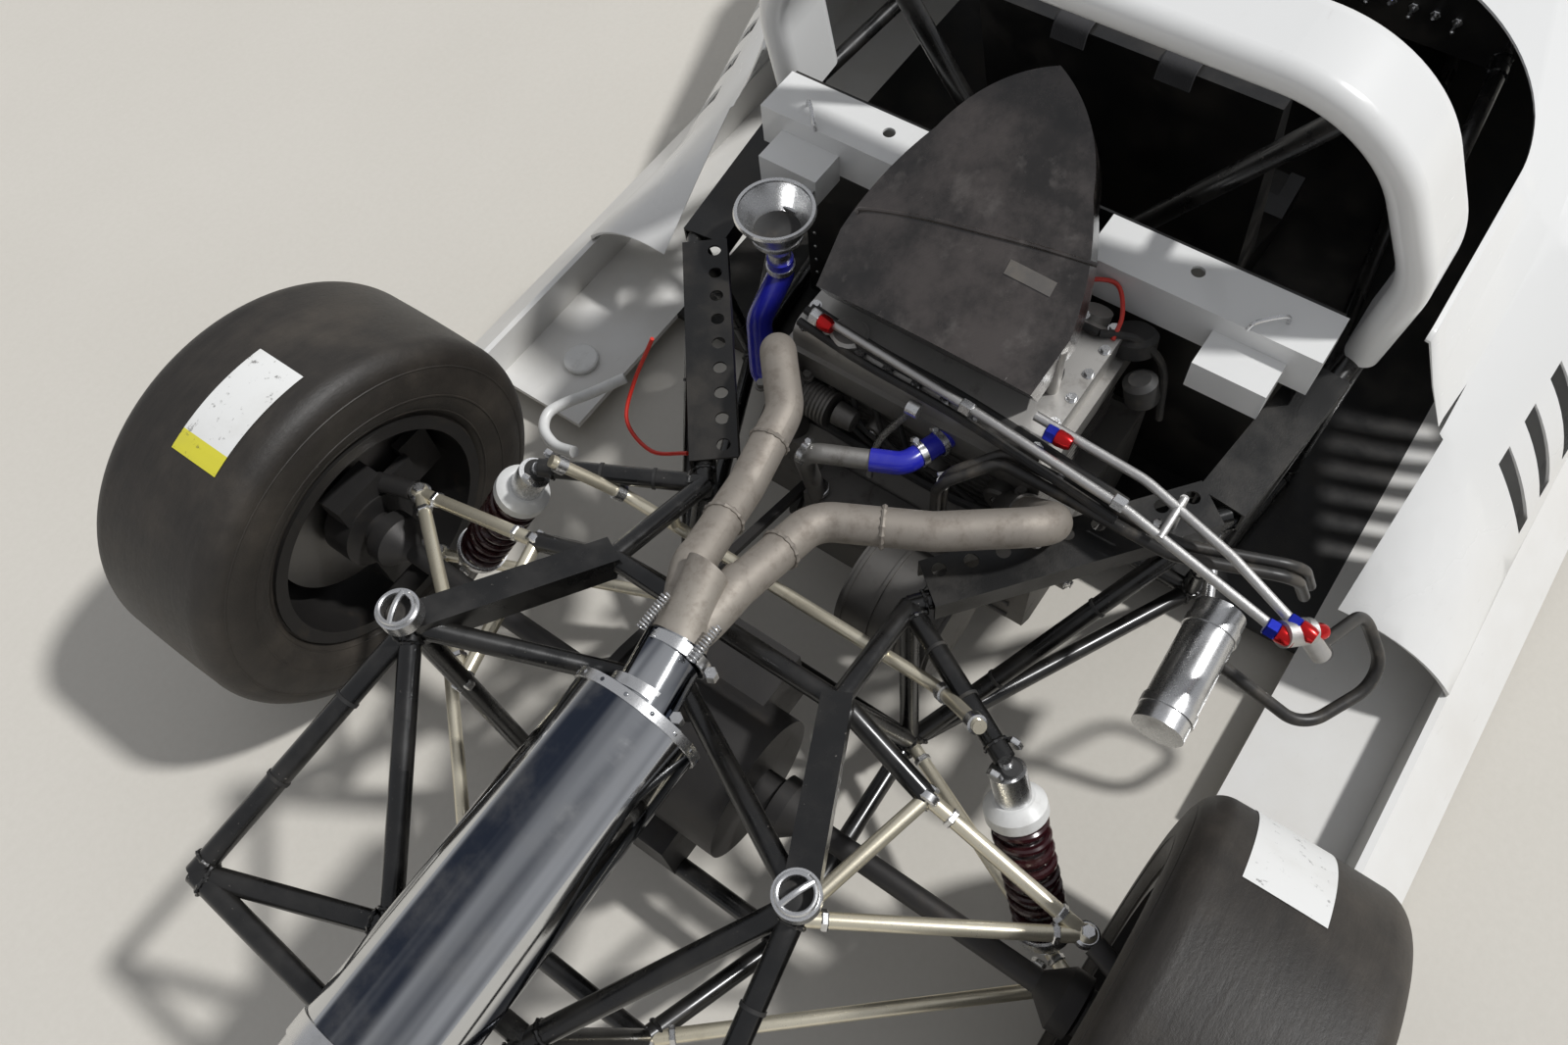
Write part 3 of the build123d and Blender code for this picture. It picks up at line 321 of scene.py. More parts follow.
def label(name, paper, ink):
    """A paper label on a tyre, rubbed through in places and blank."""
    f = Finish(name)
    rub = f.noise(60.0, 8.0, 0.75).rises(0.58, 0.66)
    stain = f.noise(14.0, 5.0).rises(0.45, 0.75)
    f.colour(f.mix(rub * 0.7, f.mix(stain * 0.3, paper, ink), (0.06, 0.052, 0.045)))
    f.rough(0.55 + 0.2 * rub)
    f.bump(rub, 0.2, 0.0003)
    return f.material


def webbing():
    """Woven belt: fine ribs across it."""
    f = Finish("webbing")
    ribs = (f.axis(1) * 2600.0).math("SINE") * 0.5 + 0.5
    f.colour(f.mix(f.noise(18.0), (0.016, 0.016, 0.018), (0.045, 0.044, 0.046)))
    f.rough(0.75 + 0.1 * ribs)
    f.bump(ribs, 0.35, 0.0004)
    return f.material


FINISHES = {
    "white_panel": white_panel(),
    "black_panel": black_panel(),
    "black_tube": black_tube(),
    "dark_cover": dark_cover(),
    "tyre_rubber": tyre_rubber(),
    "exhaust_steel": exhaust_steel(),
    "polished_steel": polished_steel(),
    "bright_metal": metal_finish("bright_metal", (0.62, 0.62, 0.62), (0.84, 0.84, 0.84), 0.20, stained=0.4),
    "engine_alloy": metal_finish("engine_alloy", (0.34, 0.33, 0.31), (0.62, 0.60, 0.57), 0.40, 90.0,
                                 stained=0.85, metallic=0.8, bump=0.35, painted_bay_shade=0.7),
    "dark_casting": metal_finish("dark_casting", (0.030, 0.030, 0.032), (0.085, 0.080, 0.075), 0.42, 80.0,
                                 stained=0.4, metallic=0.7, bump=0.3),
    "nickel_tube": metal_finish("nickel_tube", (0.70, 0.62, 0.45), (0.92, 0.87, 0.72), 0.22, 70.0,
                                stain=(0.26, 0.20, 0.12), stained=0.45, metallic=0.75),
    "spring_paint": coloured("spring_paint", (0.016, 0.003, 0.004), (0.050, 0.008, 0.012), 0.24, 0.1, coat=0.4),
    "braided_line": metal_finish("braided_line", (0.42, 0.41, 0.40), (0.70, 0.69, 0.67), 0.34, 160.0, bump=0.6),
    "black_grip": coloured("black_grip", (0.014, 0.014, 0.014), (0.032, 0.031, 0.030), 0.62),
    "rim_paint": metal_finish("rim_paint", (0.016, 0.016, 0.017), (0.050, 0.046, 0.042), 0.36, metallic=0.5,
                              stain=(0.11, 0.085, 0.06), stained=0.6),
    "disc_iron": metal_finish("disc_iron", (0.20, 0.19, 0.18), (0.42, 0.41, 0.40), 0.34, 120.0),
    "hose_rubber": coloured("hose_rubber", (0.012, 0.012, 0.012), (0.035, 0.032, 0.029), 0.42, dirt=0.4),
    "blue_hose": coloured("blue_hose", (0.012, 0.014, 0.30), (0.03, 0.035, 0.55), 0.24, dirt=0.15, coat=0.5),
    "red_anodise": coloured("red_anodise", (0.48, 0.006, 0.010), (0.70, 0.02, 0.02), 0.22, 0.75, 0.15),
    "blue_anodise": coloured("blue_anodise", (0.010, 0.02, 0.36), (0.03, 0.05, 0.62), 0.22, 0.75, 0.15),
    "brass": metal_finish("brass", (0.48, 0.42, 0.16), (0.66, 0.60, 0.30), 0.24, stained=0.3),
    "cover_tape": coloured("cover_tape", (0.085, 0.078, 0.072), (0.14, 0.13, 0.12), 0.4, dirt=0.5),
    "red_wire": coloured("red_wire", (0.55, 0.02, 0.012), (0.75, 0.05, 0.03), 0.36, dirt=0.2),
    "white_plastic": coloured("white_plastic", (0.72, 0.72, 0.70), (0.84, 0.84, 0.82), 0.34, dirt=0.35),
    "label_paper": label("label_paper", (0.82, 0.82, 0.80), (0.60, 0.58, 0.53)),
    "label_band": label("label_band", (0.72, 0.66, 0.05), (0.50, 0.45, 0.10)),
    "webbing": webbing(),
}
finish_of = {row["node"]: row["material_slot"] for row in frame["record"]["subparts"]}
# The castings at the wheels are darker than the engine's, and the canister paler than the silencer
finish_of.update(rear_uprights="dark_casting", knuckle_left="dark_casting", knuckle_right="dark_casting",
                 canister="bright_metal")
for node, made in frame["nodes"].items():
    made.data.materials.clear()
    made.data.materials.append(FINISHES[finish_of[node]])


# Making of pieces

class Maker:
    """Collects turned, swept and folded forms and gives them to the car as one piece."""

    def __init__(self):
        self.mesh = bmesh.new()

    def bridge(self, rings, closed=False):
        """Faces between rings of points; a ring of one point closes an end."""
        pairs = list(zip(rings, rings[1:])) + ([(rings[-1], rings[0])] if closed else [])
        for a, b in pairs:
            count = max(len(a), len(b))
            for i in range(count):
                j = (i + 1) % count
                corners = [a[i % len(a)], a[j % len(a)], b[j % len(b)], b[i % len(b)]]
                self.mesh.faces.new(list(dict.fromkeys(corners)))

    def turned(self, origin, along, profile, sides=20):
        """A form of revolution; the profile gives distance along the axis and radius."""
        turn = Vector(along).to_track_quat("Z", "Y").to_matrix().to_4x4()
        at = Matrix.Translation(place(*origin)) @ turn
        rings = []
        for along_it, r in profile:
            steps = sides if r else 1
            angles = [math.tau * i / sides for i in range(steps)]
            ring = [at @ Vector((r * math.cos(a), r * math.sin(a), along_it)) for a in angles]
            rings.append([self.mesh.verts.new(p) for p in ring])
        self.bridge(rings)

    def ring(self, origin, along, r, wide, thick, sides=28):
        """A band round an axis, its four edges eased."""
        e = min(wide, thick) * 0.2
        h = wide / 2
        profile = [(-h, r), (-h + e, r + thick), (h - e, r + thick), (h, r), (h - e, r - 0.0002), (-h + e, r - 0.0002)]
        turn = Vector(along).to_track_quat("Z", "Y").to_matrix().to_4x4()
        at = Matrix.Translation(place(*origin)) @ turn
        rings = []
        for s, radius in profile:
            ring = [at @ Vector((radius * math.cos(a), radius * math.sin(a), s))
                    for a in (math.tau * i / sides for i in range(sides))]
            rings.append([self.mesh.verts.new(p) for p in ring])
        self.bridge(rings, closed=True)

    def swept(self, points, r, sides=8, steps=6):
        """A round bar or wire along a smooth line through the points, its ends closed."""
        line = smooth_line([place(*p) for p in points], steps)
        side = None
        rings = []
        for i, p in enumerate(line):
            ahead = (line[min(i + 1, len(line) - 1)] - line[max(i - 1, 0)]).normalized()
            side = ahead.orthogonal().normalized() if side is None else (side - side.dot(ahead) * ahead).normalized()
            other = ahead.cross(side)
            ring = [p + r * (math.cos(a) * side + math.sin(a) * other)
                    for a in (math.tau * k / sides for k in range(sides))]
            rings.append([self.mesh.verts.new(q) for q in ring])
        ends = [[self.mesh.verts.new(line[0])], [self.mesh.verts.new(line[-1])]]
        self.bridge([ends[0], *rings, ends[1]])

    def belt(self, points, across, wide, thick=0.0022, steps=8):
        """A flat strap along a smooth line, its width along the given way."""
        line = smooth_line([place(*p) for p in points], steps)
        across = Vector(across).normalized()
        rings = []
        for i, p in enumerate(line):
            ahead = (line[min(i + 1, len(line) - 1)] - line[max(i - 1, 0)]).normalized()
            up = across.cross(ahead).normalized()
            corners = [(1, 0), (0.94, 1), (-0.94, 1), (-1, 0), (-0.94, -1), (0.94, -1)]
            ring = [p + a * wide / 2 * across + b * thick / 2 * up for a, b in corners]
            rings.append([self.mesh.verts.new(q) for q in ring])
        self.bridge(rings)
        self.mesh.faces.new(rings[0])
        self.mesh.faces.new(rings[-1])

    def strip(self, rows):
        """A thin sheet from rows of points, all rows of one length."""
        verts = [[self.mesh.verts.new(p) for p in row] for row in rows]
        for a, b in zip(verts, verts[1:]):
            for i in range(len(a) - 1):
                self.mesh.faces.new((a[i], a[i + 1], b[i + 1], b[i]))

    def give(self, name, body, slot, finish=None, smooth=32):
        """Hands the mesh over as a piece that rides on a body."""
        bmesh.ops.remove_doubles(self.mesh, verts=self.mesh.verts, dist=1e-6)
        bmesh.ops.recalc_face_normals(self.mesh, faces=self.mesh.faces)
        mesh = bpy.data.meshes.new(name)
        self.mesh.to_mesh(mesh)
        self.mesh.free()
        return give(name, mesh, body, slot, finish, smooth)


def give(name, mesh, body, slot, finish=None, smooth=32):
    mesh.shade_smooth()
    mesh.set_sharp_from_angle(angle=math.radians(smooth))
    mesh.materials.clear()
    mesh.materials.append(FINISHES[finish or slot])
    piece = bpy.data.objects.new(name, mesh)
    bpy.context.collection.objects.link(piece)
    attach(piece, body)
    return piece


def smooth_line(points, steps):
    """Points along a smooth curve that passes through the given ones."""
    if len(points) == 2:
        return points
    ends = [2 * points[0] - points[1], *points, 2 * points[-1] - points[-2]]
    line = []
    for a, b, c, d in zip(ends, ends[1:], ends[2:], ends[3:]):
        for k in range(steps):
            t = k / steps
            line.append(0.5 * (2 * b + (c - a) * t + (2 * a - 5 * b + 4 * c - d) * t * t
                               + (3 * b - 3 * c + d - a) * t ** 3))
    return [*line, points[-1]]


def on_surface(node, x, y):
    """The highest point of a node over x, y, and the way its surface faces there."""
    hit, point, facing, _ = frame["nodes"][node].ray_cast(place(x, y, 2.0), Vector((0, 0, -1)))
    return ((point.x + MIDDLE, point.y, point.z), tuple(facing)) if hit else None


# Repeats, grown by geometry nodes

class Grower:
    """A tree of geometry nodes with named inputs."""

    KINDS = {float: "NodeSocketFloat", int: "NodeSocketInt", "material": "NodeSocketMaterial",
             "vector": "NodeSocketVector"}

    def __init__(self, name, inputs):
        self.tree = bpy.data.node_groups.new(name, "GeometryNodeTree")
        face = self.tree.interface
        face.new_socket("Geometry", in_out="INPUT", socket_type="NodeSocketGeometry")
        self.named = {label: face.new_socket(label, in_out="INPUT", socket_type=self.KINDS[kind]).identifier
                      for label, kind in inputs.items()}
        face.new_socket("Geometry", in_out="OUTPUT", socket_type="NodeSocketGeometry")
        self.start = self.tree.nodes.new("NodeGroupInput")
        self.end = self.tree.nodes.new("NodeGroupOutput")

    def given(self, label):
        return self.start.outputs[label]

    def node(self, kind, settings, inputs, out=0):
        made = self.tree.nodes.new(kind)
        for key, value in settings.items():
            setattr(made, key, value)
        for key, value in inputs.items():
            for one in value if isinstance(value, list) else [value]:
                if isinstance(one, bpy.types.NodeSocket):
                    self.tree.links.new(one, made.inputs[key])
                else:
                    made.inputs[key].default_value = one
        return made.outputs[out]

    def close(self, geometry):
        """Ends the tree: instances made real, material set."""
        real = self.node("GeometryNodeRealizeInstances", {}, {"Geometry": geometry})
        done = self.node("GeometryNodeSetMaterial", {}, {"Geometry": real, "Material": self.given("Finish")})
        self.tree.links.new(done, self.end.inputs[0])
        return self

    def grow(self, name, source, **values):
        """The tree's result on a source mesh, as a plain mesh."""
        holder = bpy.data.objects.new(name, source)
        bpy.context.collection.objects.link(holder)
        modifier = holder.modifiers.new("grow", "NODES")
        modifier.node_group = self.tree
        for label, value in values.items():
            modifier[self.named[label.replace("_", " ")]] = value
        bpy.context.view_layer.update()
        mesh = bpy.data.meshes.new_from_object(holder.evaluated_get(bpy.context.evaluated_depsgraph_get()))
        holder.modifiers.clear()
        bpy.data.objects.remove(holder)
        return mesh


def facing_rotation(tree):
    facing = tree.node("GeometryNodeInputNamedAttribute", {"data_type": "FLOAT_VECTOR"}, {"Name": "facing"})
    return tree.node("FunctionNodeAlignRotationToVector", {"axis": "Z"}, {"Vector": facing})


def head_rows(domed):
    """Heads of rivets or bolts, evenly spaced along each line of the source."""
    tree = Grower("rivet_rows" if domed else "bolt_rows",
                  {"Spacing": float, "Radius": float, "Height": float, "Finish": "material"})
    line = tree.node("GeometryNodeMeshToCurve", {}, {"Mesh": tree.given("Geometry")})
    dots = tree.node("GeometryNodeResampleCurve", {"mode": "LENGTH"}, {"Curve": line, "Length": tree.given("Spacing")})
    radius, height = tree.given("Radius"), tree.given("Height")
    if domed:
        ball = tree.node("GeometryNodeMeshUVSphere", {}, {"Segments": 10, "Rings": 6, "Radius": 1.0})
        size = tree.node("ShaderNodeCombineXYZ", {}, {"X": radius, "Y": radius, "Z": height})
        head = tree.node("GeometryNodeTransform", {}, {"Geometry": ball, "Scale": size})
    else:
        hexagon = tree.node("GeometryNodeMeshCylinder", {}, {"Vertices": 6, "Radius": radius, "Depth": height})
        lift = tree.node("ShaderNodeMath", {"operation": "MULTIPLY"}, {0: height, 1: 0.5})
        rise = tree.node("ShaderNodeCombineXYZ", {}, {"Z": lift})
        nut = tree.node("GeometryNodeTransform", {}, {"Geometry": hexagon, "Translation": rise})
        wide = tree.node("ShaderNodeMath", {"operation": "MULTIPLY"}, {0: radius, 1: 1.35})
        thin = tree.node("ShaderNodeMath", {"operation": "MULTIPLY"}, {0: height, 1: 0.5})
        washer = tree.node("GeometryNodeMeshCylinder", {}, {"Vertices": 14, "Radius": wide, "Depth": thin})
        head = tree.node("GeometryNodeJoinGeometry", {}, {"Geometry": [nut, washer]})
    heads = tree.node("GeometryNodeInstanceOnPoints", {},
                      {"Points": dots, "Instance": head, "Rotation": facing_rotation(tree)})
    return tree.close(heads)


def bead_rings():
    """A rippled weld bead round the axis at each point of the source."""
    tree = Grower("weld_beads", {"Tube": float, "Bead": float, "Ripples": float, "Finish": "material"})
    circle = tree.node("GeometryNodeCurvePrimitiveCircle", {}, {"Resolution": 44, "Radius": tree.given("Tube")})
    way = tree.node("GeometryNodeSplineParameter", {}, {})
    turns = tree.node("ShaderNodeMath", {"operation": "MULTIPLY"}, {0: way, 1: tree.given("Ripples")})
    wave = tree.node("ShaderNodeMath", {"operation": "SINE"}, {0: turns})
    swell = tree.node("ShaderNodeMath", {"operation": "MULTIPLY_ADD"}, {0: wave, 1: 0.28, 2: 1.0})
    shaped = tree.node("GeometryNodeSetCurveRadius", {}, {"Curve": circle, "Radius": swell})
    section = tree.node("GeometryNodeCurvePrimitiveCircle", {}, {"Resolution": 6, "Radius": tree.given("Bead")})
    ring = tree.node("GeometryNodeCurveToMesh", {}, {"Curve": shaped, "Profile Curve": section})
    if "Scale" in ring.node.inputs:
        tree.tree.links.new(swell, ring.node.inputs["Scale"])
    points = tree.node("GeometryNodeMeshToPoints", {}, {"Mesh": tree.given("Geometry")})
    rings = tree.node("GeometryNodeInstanceOnPoints", {},
                      {"Points": points, "Instance": ring, "Rotation": facing_rotation(tree)})
    return tree.close(rings)


def coils():
    """A coil of wire that stands on each point of the source, along its facing."""
    tree = Grower("coils", {"Turns": float, "Radius": float, "Length": float, "Wire": float, "Finish": "material"})
    spiral = tree.node("GeometryNodeCurveSpiral", {}, {"Resolution": 28, "Rotations": tree.given("Turns"),
                                                       "Start Radius": tree.given("Radius"),
                                                       "End Radius": tree.given("Radius"),
                                                       "Height": tree.given("Length")})
    section = tree.node("GeometryNodeCurvePrimitiveCircle", {}, {"Resolution": 10, "Radius": tree.given("Wire")})
    wire = tree.node("GeometryNodeCurveToMesh", {}, {"Curve": spiral, "Profile Curve": section, "Fill Caps": True})
    points = tree.node("GeometryNodeMeshToPoints", {}, {"Mesh": tree.given("Geometry")})
    made = tree.node("GeometryNodeInstanceOnPoints", {},
                     {"Points": points, "Instance": wire, "Rotation": facing_rotation(tree)})
    return tree.close(made)


def fin_stack():
    """Cooling fins one over the other, each the size of the source's block and a little proud of it."""
    tree = Grower("fin_stack", {"Count": int, "Pitch": "vector", "Size": "vector", "Start": "vector",
                                "Finish": "material"})
    line = tree.node("GeometryNodeMeshLine", {"mode": "OFFSET"}, {"Count": tree.given("Count"),
                                                                 "Start Location": tree.given("Start"),
                                                                 "Offset": tree.given("Pitch")})
    fin = tree.node("GeometryNodeMeshCube", {}, {"Size": tree.given("Size")})
    stack = tree.node("GeometryNodeInstanceOnPoints", {}, {"Points": line, "Instance": fin})
    return tree.close(stack)


RIVETS, BOLTS, BEADS, COILS, FINS = head_rows(True), head_rows(False), bead_rings(), coils(), fin_stack()


def lines_mesh(rows):
    """A mesh of lines for the growers: each row is its points and the way the heads face, one or one a point."""
    points, edges, faces = [], [], []
    for row, facing in rows:
        first = len(points)
        closed = len(row) > 2 and row[0] == row[-1]
        kept = row[:-1] if closed else row
        points += [place(*p) for p in kept]
        faces += list(facing[:len(kept)]) if isinstance(facing, list) else [facing] * len(kept)
        edges += [(first + i, first + i + 1) for i in range(len(kept) - 1)]
        edges += [(first + len(kept) - 1, first)] if closed else []
    mesh = bpy.data.meshes.new("lines")
    mesh.from_pydata(points, edges, [])
    attribute = mesh.attributes.new("facing", "FLOAT_VECTOR", "POINT")
    for i, facing in enumerate(faces):
        attribute.data[i].vector = facing
    return mesh


def circle_row(centre, axis, r, sides=24, outward=False):
    """A closed row round an axis, its heads facing along the axis or away from it."""
    axis = Vector(axis).normalized()
    side = axis.orthogonal().normalized()
    other = axis.cross(side)
    spokes = [math.cos(a) * side + math.sin(a) * other for a in (math.tau * i / sides for i in range(sides))]
    points = [tuple(Vector(centre) + r * s) for s in spokes]
    facing = [tuple(s) for s in spokes] if outward else [tuple(axis)] * sides
    return [*points, points[0]], facing


def both_sides(rows):
    """The rows and their mirror image on the car's other side."""
    made = list(rows)
    for row, facing in rows:
        turned = [mirrored(f) for f in facing] if isinstance(facing, list) else mirrored(facing)
        made.append(([mirrored(p) for p in row], turned))
    return made


def grown(name, grower, rows, body, slot, finish=None, **sizes):
    """What a grower makes of rows of points, as a finished piece on a body."""
    raw = grower.grow(name, lines_mesh(rows), Finish=FINISHES[finish or slot], **sizes)
    mesh = bmesh.new()
    mesh.from_mesh(raw)
    bmesh.ops.recalc_face_normals(mesh, faces=mesh.faces)
    for face in mesh.faces:
        face.material_index = 0
    mesh.to_mesh(raw)
    mesh.free()
    return give(name, raw, body, slot, finish)


def met(node, origin, along):
    """Where a ray from a point meets a node, and the way the surface faces there."""
    hit, point, facing, _ = frame["nodes"][node].ray_cast(place(*origin), Vector(along))
    return ((point.x + MIDDLE, point.y, point.z), tuple(facing)) if hit else None


def traced(node, starts, along):
    """A row of points where rays from the starts meet a node."""
    hits = [hit for hit in (met(node, start, along) for start in starts) if hit]
    return [hit[0] for hit in hits], [hit[1] for hit in hits]


def spread(a, b, count):
    return [between(a, b, i / (count - 1)) for i in range(count)]


def over(node, a, b, count):
    """A row on top of a node, seen from above, from a to b."""
    return traced(node, [(*p, 2.0) for p in spread(a, b, count)], DOWN)


# Space frame: the tubes' nodes, from the rear axle

TUBE_R = 0.0125
LOW = {"nose": (2.6, 0.245, 0.0628), "scuttle": (1.96, 0.3, 0.0628), "hoop": (0.9, 0.43, 0.0628),
       "bay": (0.64, 0.4, 0.0628), "drive": (0.2, 0.19, 0.118), "rear": (-0.112, 0.2, 0.135),
       "end": (-0.3, 0.14, 0.19)}
TOP = {"nose": (2.6, 0.225, 0.29), "scuttle": (1.96, 0.28, 0.4), "dash": (1.43, 0.4, 0.42),
       "hoop": (0.8913, 0.436, 0.42), "elbow": (0.558, 0.4, 0.42), "bay": (0.25, 0.15, 0.42),
       "beam": (0.092, 0.158, 0.47)}
TAIL = {"cup": (-0.112, 0.256, 0.54), "far": (-0.44, 0.304, 0.45), "span": (-0.36, 0.095, 0.44),
        "end": (-0.455, 0.075, 0.44)}
RAILS = [("nose", "nose"), ("scuttle", "scuttle"), ("scuttle", "dash"), ("hoop", "hoop"), ("bay", "elbow"),
         ("bay", "hoop"), ("drive", "bay"), ("drive", "beam"), ("drive", "elbow")]
TAIL_RUNS = [("cup", "span"), ("cup", "far"), ("far", "span"), ("far", "end"), ("span", "end")]
HOOP_STAY = ((0.863, 0.408, 0.69), (1.13, 0.43, 0.42))
DAMPER = ((0.062, 0.4746, 0.1629), (0.15, 0.335, 0.432))


def tube_runs():
    lows, tops = list(LOW.values()), list(TOP.values())
    runs = list(zip(lows, lows[1:])) + list(zip(tops, tops[1:-1]))
    runs += [(LOW[a], TOP[b]) for a, b in RAILS]
    return runs + [(TAIL[a], TAIL[b]) for a, b in TAIL_RUNS] + [(TOP["bay"], DAMPER[1])]


def frame_welds():
    """A weld bead a little way along each tube from each end."""
    rows = []
    for a, b in tube_runs():
        along = (Vector(b) - Vector(a)).normalized()
        for end, sign in ((Vector(a), 1), (Vector(b), -1)):
            rows.append(([tuple(end + along * sign * 0.019)], tuple(along)))
    grown("frame_weld_beads", BEADS, both_sides(rows), "chassis", "black_tube",
          Tube=TUBE_R + 0.0004, Bead=0.0024, Ripples=math.tau * 11)


def firewall_rivets():
    """Rivets along the firewall's edges."""
    rows = [([(0.8115, 0.385, 0.07), (0.8115, 0.385, 0.5), (0.8115, 0.1, 0.5)], (-1, 0, 0))]
    grown("firewall_rivets", RIVETS, both_sides(rows), "chassis", "bright_metal",
          Spacing=0.032, Radius=0.0032, Height=0.0014)


def body_skins():
    """The body's panels with their sections blended into one flowing surface, each for its own node."""
    for node in ("nose_clip", "centre_body"):
        skin = bmesh.new()
        skin.from_mesh(frame["nodes"][node].data)
        bmesh.ops.remove_doubles(skin, verts=skin.verts, dist=1e-5)
        mesh = bpy.data.meshes.new(f"{node}_skin")
        skin.to_mesh(mesh)
        skin.free()
        piece = give(f"{node}_skin", mesh, "chassis", "white_panel", smooth=38)
        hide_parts(node)
        piece.modifiers.new("flow", "WEIGHTED_NORMAL").keep_sharp = True


def body_fasteners():
    """Quarter-turn fasteners along the split between nose clip and middle body."""
    rows = [over("centre_body", (1.535, 0.60), (1.535, 0.735), 6),
            over("nose_clip", (1.585, 0.60), (1.585, 0.735), 6)]
    rows = [row for row in rows if len(row[0]) > 1]
    grown("body_fasteners", RIVETS, both_sides(rows), "chassis", "bright_metal",
          Spacing=0.085, Radius=0.0075, Height=0.0016)


# Rear suspension

def hex_nut(maker, at, along, r, thick):
    """A nut with its corners eased, centred on the point."""
    h = thick / 2
    maker.turned(at, along, [(-h, 0), (-h, r * 0.88), (-h + r * 0.12, r), (h - r * 0.12, r), (h, r * 0.88), (h, 0)], 6)


def rod_end(bright, at, along, bolt):
    """A ball end: its eye round the bolt, the bolt's head and nut, the shank and its lock nut."""
    along, bolt = Vector(along).normalized(), Vector(bolt).normalized()
    eye = [(-0.006, 0), (-0.006, 0.0125), (-0.004, 0.0150), (0.004, 0.0150), (0.006, 0.0125), (0.006, 0)]
    bright.turned(at, bolt, eye, 24)
    threads = [(0.013 + 0.001 * i, 0.0062 if i % 2 else 0.0070) for i in range(18)]
    bright.turned(at, along, [(0.013, 0), *threads, (0.031, 0)], 14)
    hex_nut(bright, tuple(Vector(at) + along * 0.034), along, 0.0115, 0.008)
    for sign in (1, -1):
        hex_nut(bright, tuple(Vector(at) + bolt * sign * 0.0105), bolt, 0.0082, 0.0065)


ARM_OUT, ARM_FRONT, ARM_BACK = (0.059, 0.497, 0.345), (0.076, 0.285, 0.402), (-0.112, 0.237, 0.402)
LOW_OUT = (0.040, 0.520, 0.170)


def suspension_ends():
    bright = Maker()
    ends = [(ARM_FRONT, ARM_OUT), (ARM_BACK, ARM_OUT), (LOW["drive"], LOW_OUT), (LOW["end"], LOW_OUT)]
    for inner, outer in ends:
        for turn in (lambda p: p, mirrored):
            a, b = turn(inner), turn(outer)
            out = Vector(b) - Vector(a)
            rod_end(bright, a, out, (1, 0, 0.1))
            rod_end(bright, b, -out, (0.2, 0, 1))
    bright.give("rod_ends", "chassis", "bright_metal")
    ties = Maker()
    for turn in (lambda p: p, mirrored):
        ties.swept([turn(between(ARM_FRONT, ARM_BACK, 0.04)), turn(between(ARM_FRONT, ARM_BACK, 0.96))], 0.0085, 20)
    ties.give("upper_arm_ties", "chassis", "nickel_tube")


def dampers():
    """Coil springs with their seats, and the damper's collars and caps."""
    for sign, side in ((1, "left"), (-1, "right")):
        low, top = [Vector((p[0], sign * p[1], p[2])) for p in DAMPER]
        along = (top - low).normalized()
        length = (top - low).length

        def at(t):
            return tuple(low + along * length * t)

        bright, white, red = Maker(), Maker(), Maker()
        seat = [(-0.010, 0.020), (-0.010, 0.034), (0, 0.0365), (0.005, 0.0365), (0.005, 0.020)]
        bright.turned(at(0.135), along, [(-0.010, 0), *seat, (0.005, 0)], 30)
        cap = [(-0.006, 0), (-0.006, 0.0345), (-0.003, 0.0365), (0.010, 0.0360), (0.017, 0.0300), (0.021, 0.0245),
               (0.021, 0)]
        white.turned(at(0.755), along, cap, 36)
        ridges = [(0.0012 * i, 0.0212 if i % 2 else 0.0222) for i in range(24)]
        bright.turned(at(0.05), along, [(0, 0), *ridges, (0.0276, 0)], 24)
        hex_nut(bright, at(0.93), along, 0.017, 0.012)
        for t in (0.0, 1.0):
            for bolt in (1, -1):
                hex_nut(bright, (at(t)[0] + bolt * 0.0215, *at(t)[1:]), (1, 0, 0), 0.0095, 0.007)
        red.ring(at(0.872), along, 0.0165, 0.008, 0.004)
        bright.give(f"damper_fittings_{side}", "chassis", "bright_metal")
        white.give(f"damper_collar_{side}", "chassis", "bright_metal", "white_plastic")
        red.give(f"damper_adjuster_{side}", "chassis", "bright_metal", "red_anodise")
    rows = []
    for sign in (1, -1):
        low, top = [Vector((p[0], sign * p[1], p[2])) for p in DAMPER]
        rows.append(([tuple(low.lerp(top, 0.15))], tuple((top - low).normalized())))
    spring = grown("coil_springs", COILS, rows, "chassis", "spring_paint",
                   Turns=9.0, Radius=0.0282, Length=0.187, Wire=0.0056)
    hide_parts("rear_springs")


def roll_bar_fittings():
    bright = Maker()
    for sign in (1, -1):
        for t in (0.12, 0.88):
            bright.ring(between((0.15, -sign * 0.3, 0.48), (0.19, -sign * 0.23, 0.4), t), (0.4, 0.7 * sign, -0.8),
                        0.0084, 0.014, 0.003, 20)
    bright.give("roll_bar_clamps", "chassis", "bright_metal")


# Engine, exhaust and plumbing

PORTS = [(0.44, 0.165, 0.4), (0.44, -0.2, 0.4)]
SILENCER_Y, SILENCER_Z, SILENCER_R = -0.015, 0.545, 0.0735
CLUTCH, GENERATOR = (0.560, -0.256, 0.195), (0.640, 0.238, 0.190)


def engine_fins():
    grown("block_fins", FINS, [([(0.5, 0, 0.3), (0.6, 0, 0.3)], UP)], "chassis", "engine_alloy", Count=8,
          Pitch=(0.0, 0.0, 0.0125), Size=(0.2145, 0.3690, 0.0034), Start=place(0.585, -0.0075, 0.306))


